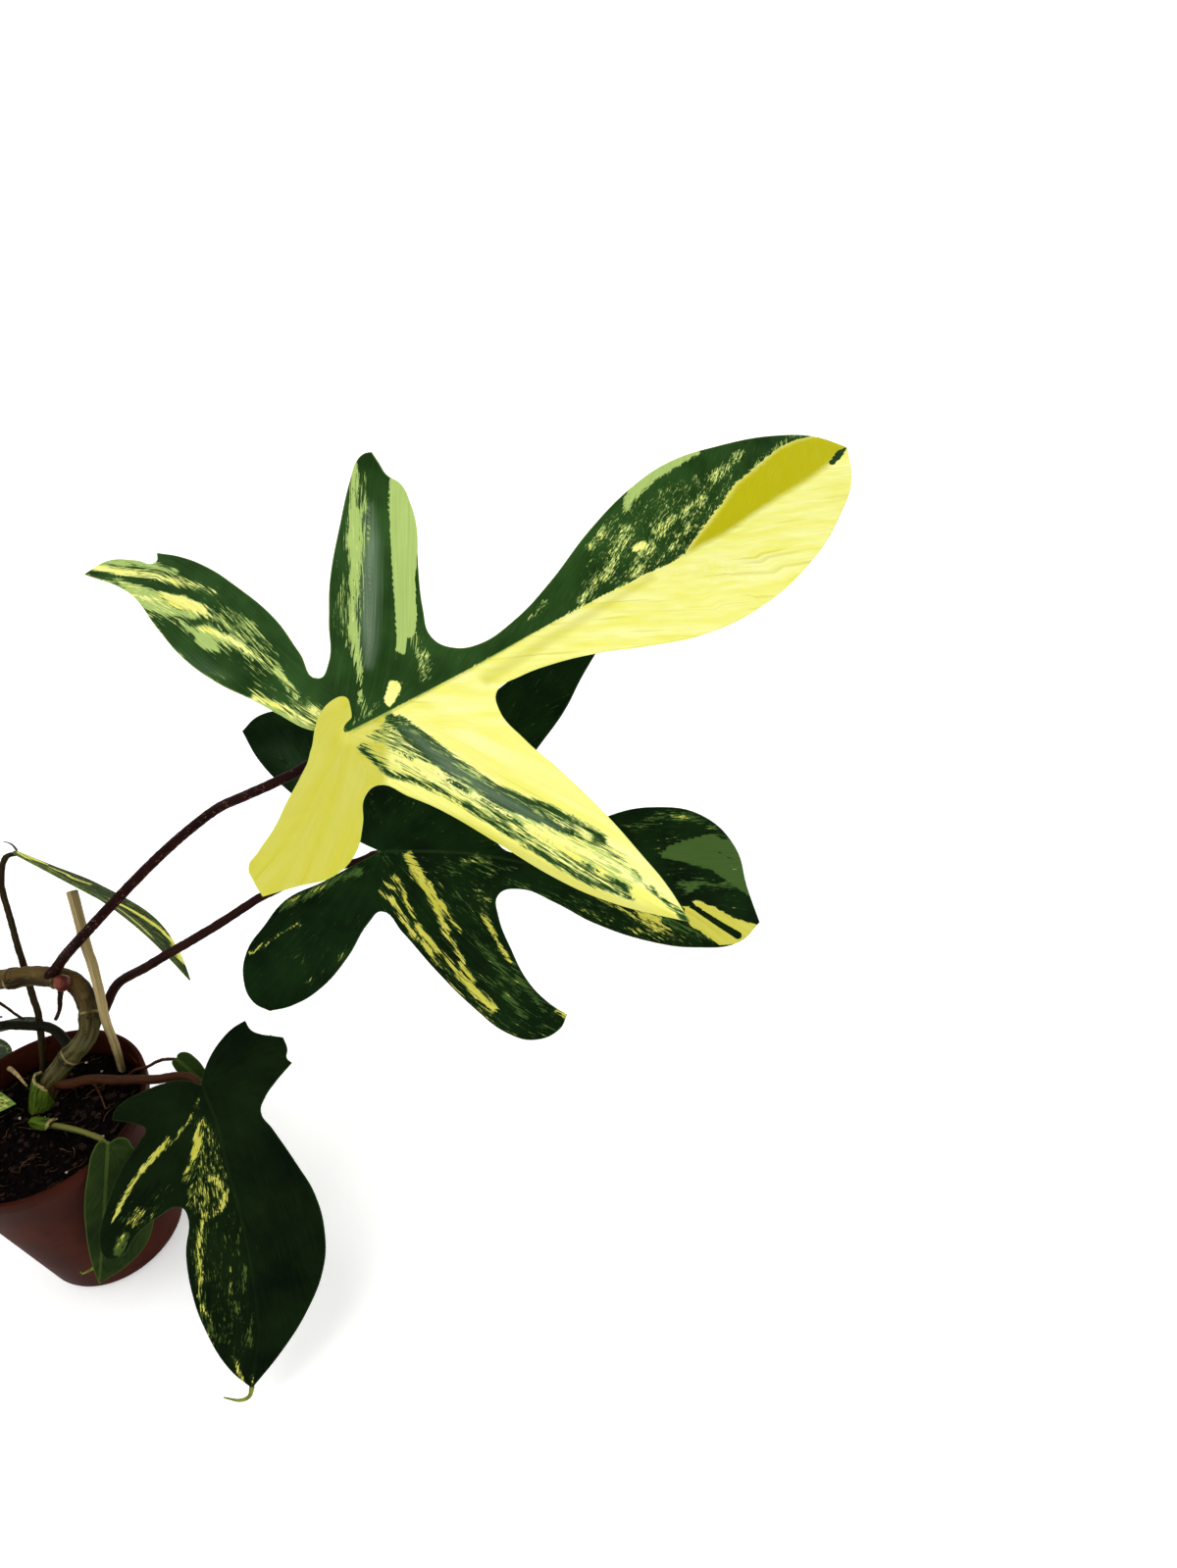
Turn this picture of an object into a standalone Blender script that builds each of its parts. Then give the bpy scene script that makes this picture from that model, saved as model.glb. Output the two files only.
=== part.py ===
"""A potted climbing philodendron with lobed, variegated leaves.

Lengths below are millimetres; MM turns them into Blender's metres. +Z is up and the origin is
the centre of the pot's flat base. The foliage leans towards +X, and -Y is the plant's front.
"""

import bmesh
import bpy
from math import atan2, cos, hypot, pi, radians, sin
from mathutils import Matrix, Vector, noise

MM = 0.001

# Driving sizes
POT_HEIGHT = 98.0
POT_BASE_R = 36.0
POT_RIM_R = 52.5
POT_WALL = 1.5
POT_LIP = 7.0
POT_LIP_STEP = 1.3
POT_FLOOR = 1.8
DRAIN_R = 4.0
DRAIN_RING_R = 23.0
SOIL_TOP = 87.0
SEAT = 0.3
BLADE = 0.7
STEM_R = 5.0
STAKE_SIDE = 4.2

POT_STEPS = 48
TUBE_RESOLUTION = 2
ROUTE_STEP = 4.5
SHEATH_WALL = 0.8
SHEATH_BOX = 40.0
SHEATH_OVERRUN = 2.0
MERGE = 0.00001


# Leaf outlines: each is a list of runs, and a run goes from one sharp tip to the next. Points are
# (x, y) in the flat leaf, with the petiole's joint at (0, 0) and the midrib along +y.
LEAF_HIGH = [
    [(0, 0), (-6, -7), (-13, -14), (-24, -20), (-36, -26), (-54, -36), (-74, -43), (-95, -46), (-122, -49),
     (-145, -62)],
    [(-145, -62), (-146, -50), (-136, -37), (-134, -29)],
    [(-134, -29), (-121, -17), (-96, -6), (-68, 0), (-46, 1), (-30, 2), (-33, 8), (-52, 19), (-71, 30),
     (-92, 47), (-108, 63), (-110, 76)],
    [(-110, 76), (-100, 76), (-87, 79), (-70, 75), (-54, 66), (-35, 57), (-21, 53), (-11, 58), (-6, 68),
     (-7, 86), (-14, 110), (-26, 139), (-35, 167), (-39, 192), (-37, 219), (-31, 252), (-23, 272), (-12, 284)],
    [(-12, 284), (4, 273), (27, 243), (44, 210), (52, 176), (50, 149), (40, 125), (30, 108), (22, 90),
     (18, 74), (18, 63), (26, 59), (43, 61), (63, 66), (91, 71), (113, 73), (129, 74), (147, 73)],
    [(147, 73), (119, 51), (99, 39), (76, 28), (50, 15), (38, 7), (27, -1), (28, -8), (38, -15), (47, -24),
     (50, -36), (46, -50), (42, -64)],
    [(42, -64), (35, -64), (30, -63), (26, -56), (21, -46), (15, -36), (9, -25), (5, -18), (1, -13.5),
     (-2, -13.7), (-4, -13), (-4, -9), (-2.6, -4.4), (0, 0)],
]
LEAF_LOW = [
    [(0, 0), (-3, -12), (-10, -28), (-19, -49), (-33, -71), (-46, -83)],
    [(-46, -83), (-55, -76), (-60, -62), (-58, -42), (-46, -22), (-36, -6), (-34, 2), (-40, 9), (-58, 20),
     (-82, 38), (-102, 60), (-112, 90)],
    [(-112, 90), (-100, 85), (-83, 79), (-64, 69), (-42, 58), (-23, 54), (-13, 60), (-14, 74), (-24, 92),
     (-38, 109), (-46, 130), (-46, 152), (-34, 170), (-16, 179), (0, 188)],
    [(0, 188), (11, 180), (17, 160), (18, 140), (14, 110), (8, 90), (5, 72), (10, 62), (20, 64), (34, 73),
     (47, 84), (55, 96), (59, 106)],
    [(59, 106), (66, 104), (73, 94), (73, 80), (66, 62), (52, 38), (37, 18), (29, 6), (36, 0), (55, -8),
     (74, -20), (86, -34), (91, -45)],
    [(91, -45), (88, -54), (78, -60), (62, -60), (48, -53), (33, -44), (20, -26), (9, -12), (0, 0)],
]
LEAF_HANGING = [
    [(0, 0), (-3, -7), (-7, -13), (-11, -17), (-16, -22), (-25, -25)],
    [(-25, -25), (-31, -18), (-37, -16), (-43, -12)],
    [(-43, -12), (-43, -2), (-36, 6), (-28, 13), (-25, 19), (-29, 28), (-37, 46), (-43, 62), (-44, 81),
     (-40, 96), (-30, 111), (-17, 124), (0, 137)],
    [(0, 137), (8, 126), (15, 107), (18, 90), (18, 73), (15, 56), (18, 52), (28, 54), (38, 58), (51, 66)],
    [(51, 66), (54, 55), (49, 43), (40, 28), (31, 17), (28, 14), (32, 10), (38, 7), (43, 5)],
    [(43, 5), (38, 0), (29, -2), (16, -4), (7, -4), (0, 0)],
]
LEAF_HEART = [
    [(0, 0), (3, -2), (6, 2), (8, 14), (9, 30), (8, 44), (6, 58), (3, 72), (0, 82)],
    [(0, 82), (-5, 79), (-13, 73), (-20, 63), (-23, 49), (-23, 34), (-19, 19), (-12, 6), (-6, -2), (0, 0)],
]
LEAF_SIDE = [
    [(0, 0), (9, 3), (18, 10), (26, 24), (30, 40), (30, 56), (25, 74), (16, 90), (8, 102), (0, 112)],
    [(0, 112), (-8, 102), (-16, 90), (-25, 74), (-30, 56), (-30, 40), (-26, 24), (-18, 10), (-9, 3), (0, 0)],
]
LEAF_YOUNG = [
    [(0, 0), (2, -1), (4, 2), (4.5, 7), (4, 13), (2, 18), (0, 22)],
    [(0, 22), (-3, 18), (-5, 13), (-6, 7), (-5, 1), (-2, -1), (0, 0)],
]
LEAF_SOIL = [
    [(0, 0), (5, -1), (9, 5), (10, 14), (8, 24), (4, 32), (0, 38)],
    [(0, 38), (-4, 32), (-8, 24), (-10, 14), (-9, 5), (-5, -1), (0, 0)],
]

# How a flat leaf is shaped in space. "rest" lists the joint, the upper face's normal and a point
# that the midrib heads for; "fold" is the V along the midrib and the y range over which it opens;
# "droop" is how far the sides, the back and the tip sink, each per (100 mm) squared, and the y
# where the tip starts; "wave" is the height, count and phase of the undulation round the joint.
LEAVES = {
    "leaf_high": {
        "outline": LEAF_HIGH,
        "rest": ((199, 26, 262), (0.08, -0.55, 0.83), (460, 131, 307)),
        "fold": (0.30, 30, 130), "droop": (6, 10, 12, 120), "wave": (3, 5, 0.6),
        "ear": {"cut": -146, "from": 152, "to": 205, "turn": 105, "lift": 11, "sink": 2},
        "grid": 15.0,
    },
    "leaf_low": {
        "outline": LEAF_LOW,
        "rest": ((188, 58, 172), (-0.12, -0.78, 0.62), (363, 0, 131)),
        "fold": (0.22, 20, 100), "droop": (8, 8, 16, 80), "wave": (3, 5, 2.0), "grid": 14.0,
    },
    "leaf_hanging": {
        "outline": LEAF_HANGING,
        "rest": ((86, -11, 107), (0.15, -0.64, 0.76), (92, -87, 42)),
        "fold": (0.12, 5, 60), "droop": (6, 10, 10, 60), "wave": (3, 5, 1.0), "grid": 11.0,
    },
    "leaf_heart": {
        "outline": LEAF_HEART,
        "rest": ((45, -34, 105), (0.45, -0.88, 0.10), (10, -62, 15)),
        "fold": (0.10, 0, 30), "droop": (16, 0, 10, 40), "wave": (0, 5, 0), "grid": 9.0,
    },
    "leaf_side": {
        "outline": LEAF_SIDE,
        "rest": ((4, 91, 190), (0.62, 0.60, 0.51), (90, 42, 143)),
        "fold": (0.10, 0, 30), "droop": (0, 0, 43, 55), "wave": (0, 5, 0), "grid": 9.0,
    },
    "leaf_young": {
        "outline": LEAF_YOUNG,
        "rest": ((70, 10, 106), (0.1, -0.74, 0.66), (81, 2, 95)),
        "fold": (0.10, 0, 10), "droop": (20, 0, 30, 10), "wave": (0, 5, 0), "grid": 5.0,
    },
    "leaf_left": {
        "outline": LEAF_LOW, "scale": 0.62, "mirror": True,
        "rest": ((-122, 66, 214), (-0.42, -0.3, 0.86), (-220, 84, 173)),
        "fold": (0.22, 12, 60), "droop": (14, 14, 30, 50), "wave": (3, 5, 2.0), "grid": 20.0,
    },
    "leaf_soil": {
        "outline": LEAF_SOIL, "scale": 0.84,
        "rest": ((-46, 13, 103), (0.1, -0.45, 0.89), (-16, 9, 98)),
        "fold": (0.15, 0, 12), "droop": (25, 0, 30, 15), "wave": (0, 5, 0), "grid": 6.0,
    },
    "leaf_back": {
        "outline": LEAF_HANGING, "scale": 0.72,
        "rest": ((-62, 54, 112), (-0.2, 0.8, 0.56), (-77, 99, 42)),
        "fold": (0.12, 5, 45), "droop": (16, 12, 14, 45), "wave": (3, 5, 1.0), "grid": 15.0,
    },
}

# Routes of the stems, stalks and roots, and their half thickness from the first point to the last.
STEM = [(-13.5, 15, 76), (-7.5, 15, 85), (-3.5, 18, 92), (0.5, 20.5, 97), (6.5, 22, 102), (13.5, 23, 108),
        (22, 24, 114), (27, 27, 119), (28.5, 31.5, 123.5), (28, 37, 128), (26, 41.5, 133), (22, 45.5, 137),
        (16, 47.5, 139), (7.5, 50, 140), (-0.5, 52, 140.5), (-8, 52, 141), (-15.5, 53, 141), (-30, 54, 142),
        (-46, 50, 146), (-58, 42, 155), (-66, 31, 168)]
STEM_NODES = (0.22, 0.35, 0.49, 0.62, 0.82)
STALKS = {
    "petiole_high": ([(8, 49.5, 138), (12.5, 47, 143), (18.5, 46, 148), (26.5, 43.5, 156), (42, 35.5, 171),
                      (65, 36.5, 188), (79.5, 39.5, 197.5), (96.5, 41.5, 208.5), (113.5, 41.5, 219),
                      (129.5, 39, 228.5), (146, 32, 237), (161.5, 25.5, 245), (176, 23, 251), (190, 24.5, 257),
                      (199, 26, 262)],
                     2.7, 2.1),
    "petiole_low": ([(28.5, 32, 124), (28.5, 36.5, 119), (31, 39, 118.5), (34, 41, 121.5), (40.5, 42.5, 129.5),
                     (48, 41, 136), (65.5, 34.5, 147), (80, 32, 155), (93.5, 33.5, 159.5), (107, 39, 162),
                     (120, 45, 164.5), (128, 49, 165.5), (152, 60, 165), (174, 63, 164.5), (183, 63, 167),
                     (188, 58, 172)],
                    2.5, 1.9),
    "petiole_hanging": ([(-1.5, 20, 93), (4.5, 17.5, 96), (12, 14.5, 98), (19, 14, 99), (27.5, 12, 100),
                         (40, 7, 102), (51, 3, 104), (62, -1, 106), (73, -3, 107.5), (80, -5.5, 107.5),
                         (86, -11, 107)],
                        2.6, 2.1),
    "petiole_heart": ([(-15, 7, 78), (-7.5, 3.5, 87), (3.5, -5, 93), (14, -12, 98), (27, -21, 103),
                       (34, -26, 105), (40.5, -30.5, 106), (45, -34, 105)],
                      1.7, 1.3),
    "petiole_side": ([(-16, 37, 78), (-12.5, 38, 88), (-9, 43, 101), (-7, 51, 115), (-8, 56, 122),
                      (-9, 65.5, 137), (-9, 70.5, 148), (-9, 77.5, 161), (-9, 83.5, 173), (-7, 86, 180),
                      (-3.5, 87.5, 187), (0, 89, 190), (4, 91, 190)],
                     1.9, 1.5),
    "petiole_young": ([(33, 29, 77), (37, 22, 88), (44, 16, 97), (53, 12, 102), (59, 12, 104.5), (64, 11, 106),
                       (70, 10, 106)],
                      0.9, 0.8),
    "petiole_left": ([(-46, 50, 146), (-52, 56, 155), (-62, 61, 171), (-80, 67, 190), (-100, 68, 204),
                      (-115, 66, 212), (-122, 66, 214)],
                     2.4, 1.9),
    "petiole_soil": ([(-36, 0, 77), (-40, 3, 86), (-46, 8, 95), (-48.5, 12, 100), (-46, 13, 103)],
                     1.0, 0.9),
    "petiole_back": ([(14.5, 25, 108), (11.5, 30, 110), (6.5, 36.5, 112.5), (0, 41.5, 113.5), (-6.5, 43, 114.5),
                      (-16.5, 45.5, 115), (-26, 47.5, 115), (-42, 49, 112.5), (-55, 49.5, 109.5),
                      (-62, 54, 112)],
                     2.7, 2.0),
}
LEAF_OF_STALK = {name: name.replace("petiole", "leaf") for name in STALKS}
FROM_STEM = ("petiole_high", "petiole_low", "petiole_hanging", "petiole_left", "petiole_back")
FROM_SOIL = ("petiole_heart", "petiole_side", "petiole_young", "petiole_soil")
ROOTS = {
    "root_bud": ([(14, 46, 133), (11, 46, 127), (8.5, 44.5, 121), (6, 42.5, 118)], 0.9, 0.8),
    "root_left": ([(-26, 54, 142), (-22.5, 48.5, 133), (-19.5, 48.5, 129), (-14.5, 46, 123), (-10.5, 44, 119)],
                  0.8, 0.7),
}
STAKE = [(26.5, 33, 76), (31.5, 27, 87), (35, 27.5, 106), (37, 28.5, 123), (39.5, 32, 139), (40, 38, 152),
         (38.5, 44.5, 161), (38, 51, 170), (37.5, 59, 183)]
BUD = {"at": (19.8, 40.8, 141.6), "size": (4.2, 4.2, 4.2)}
# The cut sheaths: route, inner half thickness at the foot and the top, the side that is open, and
# how far from the route it opens.
SHEATHS = {
    "sheath_stem": ([(-8.9, 14.7, 83), (-5.5, 16.5, 88.5), (-2.5, 18.8, 93.5), (0, 20.3, 96.5)], 5.8, 8.1,
                    (0.9, 0.42, 0.0), 0.5),
    "sheath_heart": ([(-10.8, 5.1, 83), (-7.5, 3.5, 87), (3.5, -5, 93), (9, -9, 95.8)], 2.1, 2.9,
                     (0.45, -0.3, -0.84), 0.0),
}
SPEAR = [(-66.4, 30.3, 168.8), (-70, 25, 177), (-74, 16, 190), (-77, 8, 206), (-78, 2, 222)]


def clear_scene():
    for old in list(bpy.data.objects):
        bpy.data.objects.remove(old, do_unlink=True)


def collection(name):
    group = bpy.data.collections.new(name)
    bpy.context.scene.collection.children.link(group)
    return group


def material(name, colour, roughness):
    surface = bpy.data.materials.new(name)
    surface.use_nodes = True
    shader = surface.node_tree.nodes["Principled BSDF"]
    shader.inputs["Base Color"].default_value = (*colour, 1)
    shader.inputs["Roughness"].default_value = roughness
    shader.inputs["Metallic"].default_value = 0
    return surface


def add_object(name, data, group, surface=None):
    item = bpy.data.objects.new(name, data)
    group.objects.link(item)
    if surface:
        data.materials.clear()
        data.materials.append(surface)
    return item


def mesh_from(work, name):
    data = bpy.data.meshes.new(name)
    work.to_mesh(data)
    work.free()
    return data


def evaluated_mesh(item, name):
    """The object's mesh with its modifiers or bevel applied, and its loose caps welded."""
    ready = item.evaluated_get(bpy.context.evaluated_depsgraph_get())
    data = bpy.data.meshes.new_from_object(ready)
    work = bmesh.new()
    work.from_mesh(data)
    bpy.data.meshes.remove(data)
    bmesh.ops.remove_doubles(work, verts=work.verts, dist=MERGE)
    return mesh_from(work, name)


def as_mesh(item):
    """Replaces a curve object, or one with modifiers, by the plain mesh object that it shows."""
    name, group, place = item.name, item.users_collection[0], item.matrix_world.copy()
    data = evaluated_mesh(item, name)
    bpy.data.objects.remove(item, do_unlink=True)
    plain = add_object(name, data, group)
    plain.matrix_world = place
    return plain


def smooth_step(value, low, high):
    t = min(max((value - low) / (high - low), 0.0), 1.0)
    return t * t * (3 - 2 * t)


def smooth_route(points, step=ROUTE_STEP):
    """Points about a step apart on the smooth curve through the given ones."""
    knots = [Vector(p) for p in points]
    ends = [2 * knots[0] - knots[1], *knots, 2 * knots[-1] - knots[-2]]
    route = []
    for a, b, c, d in zip(ends, ends[1:], ends[2:], ends[3:]):
        pieces = max(1, round((c - b).length / step))
        for i in range(pieces):
            t = i / pieces
            bend = (2 * a - 5 * b + 4 * c - d) * t * t + (3 * b - a - 3 * c + d) * t * t * t
            route.append(b + 0.5 * ((c - a) * t + bend))
    return [*route, knots[-1]]


def tube(name, points, start_r, end_r, group, surface=None, swell=None, extra=0.0):
    """A round stalk along a route: swell gives a factor on its thickness from 0 to 1 of the way.

    The room that a stalk needs is the same tube with something extra all round and at its start.
    """
    route = smooth_route(points)
    route[0] -= (route[1] - route[0]).normalized() * extra
    data = bpy.data.curves.new(name, "CURVE")
    data.dimensions = "3D"
    data.bevel_depth = MM
    data.bevel_resolution = TUBE_RESOLUTION
    data.use_fill_caps = True
    line = data.splines.new("POLY")
    line.points.add(len(route) - 1)
    for i, (place, point) in enumerate(zip(route, line.points)):
        way = i / (len(route) - 1)
        r = start_r + (end_r - start_r) * way
        point.co = (*(place * MM), 1)
        point.radius = (r * swell(way) if swell else r) + extra
    return as_mesh(add_object(name, data, group, surface))


def cut(item, cutter):
    """Takes the cutter's shape out of the item."""
    step = item.modifiers.new("cut", "BOOLEAN")
    step.operation = "DIFFERENCE"
    step.solver = "EXACT"
    step.object = cutter


def joint_space(name, place, along, up, margin, group):
    """The room round a leaf's joint, so that its stalk ends a seat's gap below the blade."""
    radius, height = 9.0, 14.0
    across = along.cross(up)
    aim = Matrix((across, along, up)).transposed().to_4x4()
    middle = place + up * (height / 2 - margin)
    work = bmesh.new()
    bmesh.ops.create_cone(work, cap_ends=True, segments=16, radius1=radius * MM, radius2=radius * MM,
                          depth=height * MM, matrix=Matrix.Translation(middle * MM) @ aim)
    return add_object(name, mesh_from(work, name), group)


def leaf_frame(shape):
    """The leaf's joint, and its own x, y (midrib) and z (upper face) directions."""
    joint, normal, ahead = (Vector(v) for v in shape["rest"])
    up = normal.normalized()
    along = ahead - joint
    along = (along - up * along.dot(up)).normalized()
    return joint, along.cross(up), along, up


def leaf_point(x, y, shape):
    """Where a point of the flat leaf goes in the leaf's own frame: x, y and height."""
    size = shape.get("scale", 1.0)
    r, phi = hypot(x, y), atan2(x, y) * 180 / pi
    height = 0.0
    if "ear" in shape:
        ear = shape["ear"]
        if phi < ear["cut"]:
            phi += 360
        folded = smooth_step(phi, ear["from"], ear["to"])
        height += ear["lift"] * folded * smooth_step(r, 2, 18)
        height -= ear["sink"] * smooth_step(-phi, 100, 138) * smooth_step(r, 2, 20)
        phi += ear["turn"] * folded * smooth_step(r, 0, 7)
    slope, shut, open_ = shape["fold"]
    sides, back, tip, tip_from = shape["droop"]
    lift, count, phase = shape["wave"]
    spread = smooth_step(y, shut, open_)
    rounding = 5.0
    height += slope * (hypot(x, rounding) - rounding) * spread
    height -= sides * (x / 100) ** 2 * (1 - 0.6 * spread)
    height -= back * (min(y, 0) / 100) ** 2
    height -= tip * (max(y - tip_from, 0) / 100) ** 2
    height += lift * (r / 100) ** 1.5 * sin(count * radians(phi) + phase)
    turned = radians(phi)
    return Vector((r * sin(turned) * size, r * cos(turned) * size, height * size))


def flat_leaf(name, runs, group, detail=3):
    """The leaf's outline as a filled 2D curve: sharp at each run's ends, smooth between them."""
    data = bpy.data.curves.new(name, "CURVE")
    data.dimensions = "2D"
    data.fill_mode = "BOTH"
    data.resolution_u = detail
    line = data.splines.new("BEZIER")
    places = [(point, at == 0) for run in runs for at, point in enumerate(run[:-1])]
    line.bezier_points.add(len(places) - 1)
    line.use_cyclic_u = True
    for (place, sharp), point in zip(places, line.bezier_points):
        point.co = (*place, 0)
        point.handle_left_type = point.handle_right_type = "VECTOR" if sharp else "AUTO"
    return as_mesh(add_object(name, data, group))


def blade(name, shape, group, surface):
    """A leaf blade: the flat outline cut by a grid, bent into shape and given its thickness."""
    flat = flat_leaf(name, shape["outline"], group)
    work = bmesh.new()
    work.from_mesh(flat.data)
    bpy.data.objects.remove(flat, do_unlink=True)
    bmesh.ops.dissolve_faces(work, faces=work.faces[:])
    step = shape["grid"]
    for axis in range(2):
        reach = [v.co[axis] for v in work.verts]
        direction = Vector((axis == 0, axis == 1, 0))
        for i in range(int(min(reach) // step), int(max(reach) // step) + 1):
            whole = work.verts[:] + work.edges[:] + work.faces[:]
            bmesh.ops.bisect_plane(work, geom=whole, dist=step * 0.06, plane_co=direction * step * i,
                                   plane_no=direction)
    bmesh.ops.triangulate(work, faces=work.faces[:])
    joint, across, along, up = leaf_frame(shape)
    side = -1 if shape.get("mirror") else 1
    for v in work.verts:
        bent = leaf_point(v.co.x, v.co.y, shape)
        v.co = (joint + across * bent.x * side + along * bent.y + up * bent.z) * MM
    bmesh.ops.recalc_face_normals(work, faces=work.faces[:])
    facing = sum((face.normal * face.calc_area() for face in work.faces), Vector())
    if facing.dot(up) < 0:
        bmesh.ops.reverse_faces(work, faces=work.faces[:])
    item = add_object(name, mesh_from(work, name), group, surface)
    wall = item.modifiers.new("thickness", "SOLIDIFY")
    wall.thickness = BLADE * MM
    wall.offset = 0
    return item


def build_pot(group, cutters, surface):
    """A tapered nursery pot with a lip, one turned shell with drain holes in its flat floor."""
    slope = (POT_RIM_R - POT_LIP_STEP - POT_BASE_R) / POT_HEIGHT
    lip_low = POT_HEIGHT - POT_LIP
    under_lip = POT_BASE_R + slope * lip_low
    profile = [
        (POT_RIM_R - POT_WALL - 0.6, POT_HEIGHT), (POT_RIM_R - 0.5, POT_HEIGHT), (POT_RIM_R, POT_HEIGHT - 0.6),
        (POT_RIM_R - 0.6, lip_low + 0.4), (POT_RIM_R - 1.0, lip_low), (under_lip, lip_low - 0.6),
        (POT_BASE_R + slope * 2.2, 2.2), (POT_BASE_R - 0.4, 0.5), (POT_BASE_R - 1.2, 0), (0, 0), (0, POT_FLOOR),
        (POT_BASE_R - POT_WALL - 1.5, POT_FLOOR), (POT_BASE_R - POT_WALL + slope * 4, 4),
        (under_lip - POT_WALL, lip_low - 2), (POT_RIM_R - POT_WALL - 1.6, lip_low + 1.5),
    ]
    work = bmesh.new()
    corners = [work.verts.new((r * MM, 0, z * MM)) for r, z in profile]
    for a, b in zip(corners, [*corners[1:], corners[0]]):
        work.edges.new((a, b))
    pot = add_object("pot", mesh_from(work, "pot"), group, surface)
    turn = pot.modifiers.new("turned", "SCREW")
    turn.steps = turn.render_steps = POT_STEPS
    turn.use_merge_vertices = True
    turn.merge_threshold = MERGE
    drains = 6
    for i in range(drains):
        angle = 2 * pi * (i + 0.5) / drains
        hole = bmesh.new()
        place = Matrix.Translation(Vector((cos(angle), sin(angle), 0)) * DRAIN_RING_R * MM)
        bmesh.ops.create_cone(hole, cap_ends=True, segments=16, radius1=DRAIN_R * MM, radius2=DRAIN_R * MM,
                              depth=10 * MM, matrix=place)
        cut(pot, add_object(f"drain_{i}", mesh_from(hole, "drain"), cutters))
    return pot


def soil_height(x, y):
    """Loose compost: a low mound with lumps."""
    place = Vector((x, y, 0))
    edge = smooth_step(hypot(x, y), 40, 49)
    lumps = noise.noise(place * 0.11) * 1.6 + noise.noise(place * 0.31 + Vector((7, 3, 1))) * 0.8
    return SOIL_TOP + lumps * (1 - edge) - 1.5 * edge


def build_soil(group, surface):
    """The compost fills the pot from its floor to just under the lip."""
    slope = (POT_RIM_R - POT_LIP_STEP - POT_BASE_R) / POT_HEIGHT
    low = POT_FLOOR + SEAT
    low_r = POT_BASE_R - POT_WALL - 1.5 - SEAT
    top_r = POT_BASE_R + slope * (SOIL_TOP - 2) - POT_WALL - SEAT - 0.4
    work = bmesh.new()
    middle = (low + SOIL_TOP - 2) / 2
    bmesh.ops.create_cone(work, cap_ends=True, segments=48, radius1=low_r * MM, radius2=top_r * MM,
                          depth=(SOIL_TOP - 2 - low) * MM, matrix=Matrix.Translation((0, 0, middle * MM)))
    top = [max(work.faces, key=lambda face: face.calc_center_median().z)]
    rings = 8
    for i in range(rings):
        bmesh.ops.inset_region(work, faces=top, thickness=(top_r / (rings + 0.5)) * MM, use_even_offset=True)
    for v in work.verts:
        if v.co.z > middle * MM:
            rim = hypot(v.co.x, v.co.y) > (top_r - 0.5) * MM
            height = SOIL_TOP - 2 if rim else soil_height(v.co.x / MM, v.co.y / MM)
            v.co.z = height * MM
    bmesh.ops.triangulate(work, faces=[face for face in work.faces if len(face.verts) > 3])
    return add_object("soil", mesh_from(work, "soil"), group, surface)


def node_swell(way):
    """A stem thickens at each leaf scar, and narrows to its growing end."""
    bumps = sum(0.10 * max(0, 1 - abs(way - at) / 0.025) for at in STEM_NODES)
    return (1 + bumps) * (1 - 0.25 * smooth_step(way, 0.75, 1.0))


def stake_body(name, group, surface=None, extra=0.0):
    """A crooked split-wood stake of square section, or the room that it needs in the compost."""
    route = smooth_route(STAKE, 6)
    route[0] -= (route[1] - route[0]).normalized() * extra
    work = bmesh.new()
    half = STAKE_SIDE / 2 + extra
    facing = Vector((0.8, -0.6, 0)).normalized()
    ring = None
    for i, place in enumerate(route):
        ahead = (route[min(i + 1, len(route) - 1)] - route[max(i - 1, 0)]).normalized()
        across = (facing - ahead * facing.dot(ahead)).normalized()
        over = ahead.cross(across)
        corners = [place + across * half * a + over * half * b for a, b in ((1, 1), (-1, 1), (-1, -1), (1, -1))]
        new = [work.verts.new(corner * MM) for corner in corners]
        if ring:
            for k in range(4):
                work.faces.new((ring[k], ring[(k + 1) % 4], new[(k + 1) % 4], new[k]))
        else:
            work.faces.new(list(reversed(new)))
        ring = new
    work.faces.new(ring)
    bmesh.ops.recalc_face_normals(work, faces=work.faces[:])
    return add_object(name, mesh_from(work, name), group, surface)


def sheath(name, shape, group, cutters, surface):
    """A cut leaf sheath: a flaring tube round a stem's foot, open on one side, in the compost."""
    route, low_r, high_r, side, opening = shape
    points = [Vector(p) for p in route]
    foot = points[0] + (points[0] - points[1]).normalized() * SHEATH_OVERRUN
    top = points[-1] + (points[-1] - points[-2]).normalized() * SHEATH_OVERRUN
    item = tube(name, points, low_r + SHEATH_WALL, high_r + SHEATH_WALL, group, surface)
    cut(item, tube(name + "_inside", [foot, *points[1:-1], top], low_r, high_r, cutters))
    away = Vector(side).normalized()
    middle = points[len(points) // 2] + away * (SHEATH_BOX / 2 + opening)
    box = bmesh.new()
    aim = away.to_track_quat("X", "Z").to_matrix().to_4x4()
    bmesh.ops.create_cube(box, size=SHEATH_BOX * MM, matrix=Matrix.Translation(middle * MM) @ aim)
    cut(item, add_object(name + "_opening", mesh_from(box, "opening"), cutters))


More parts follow.
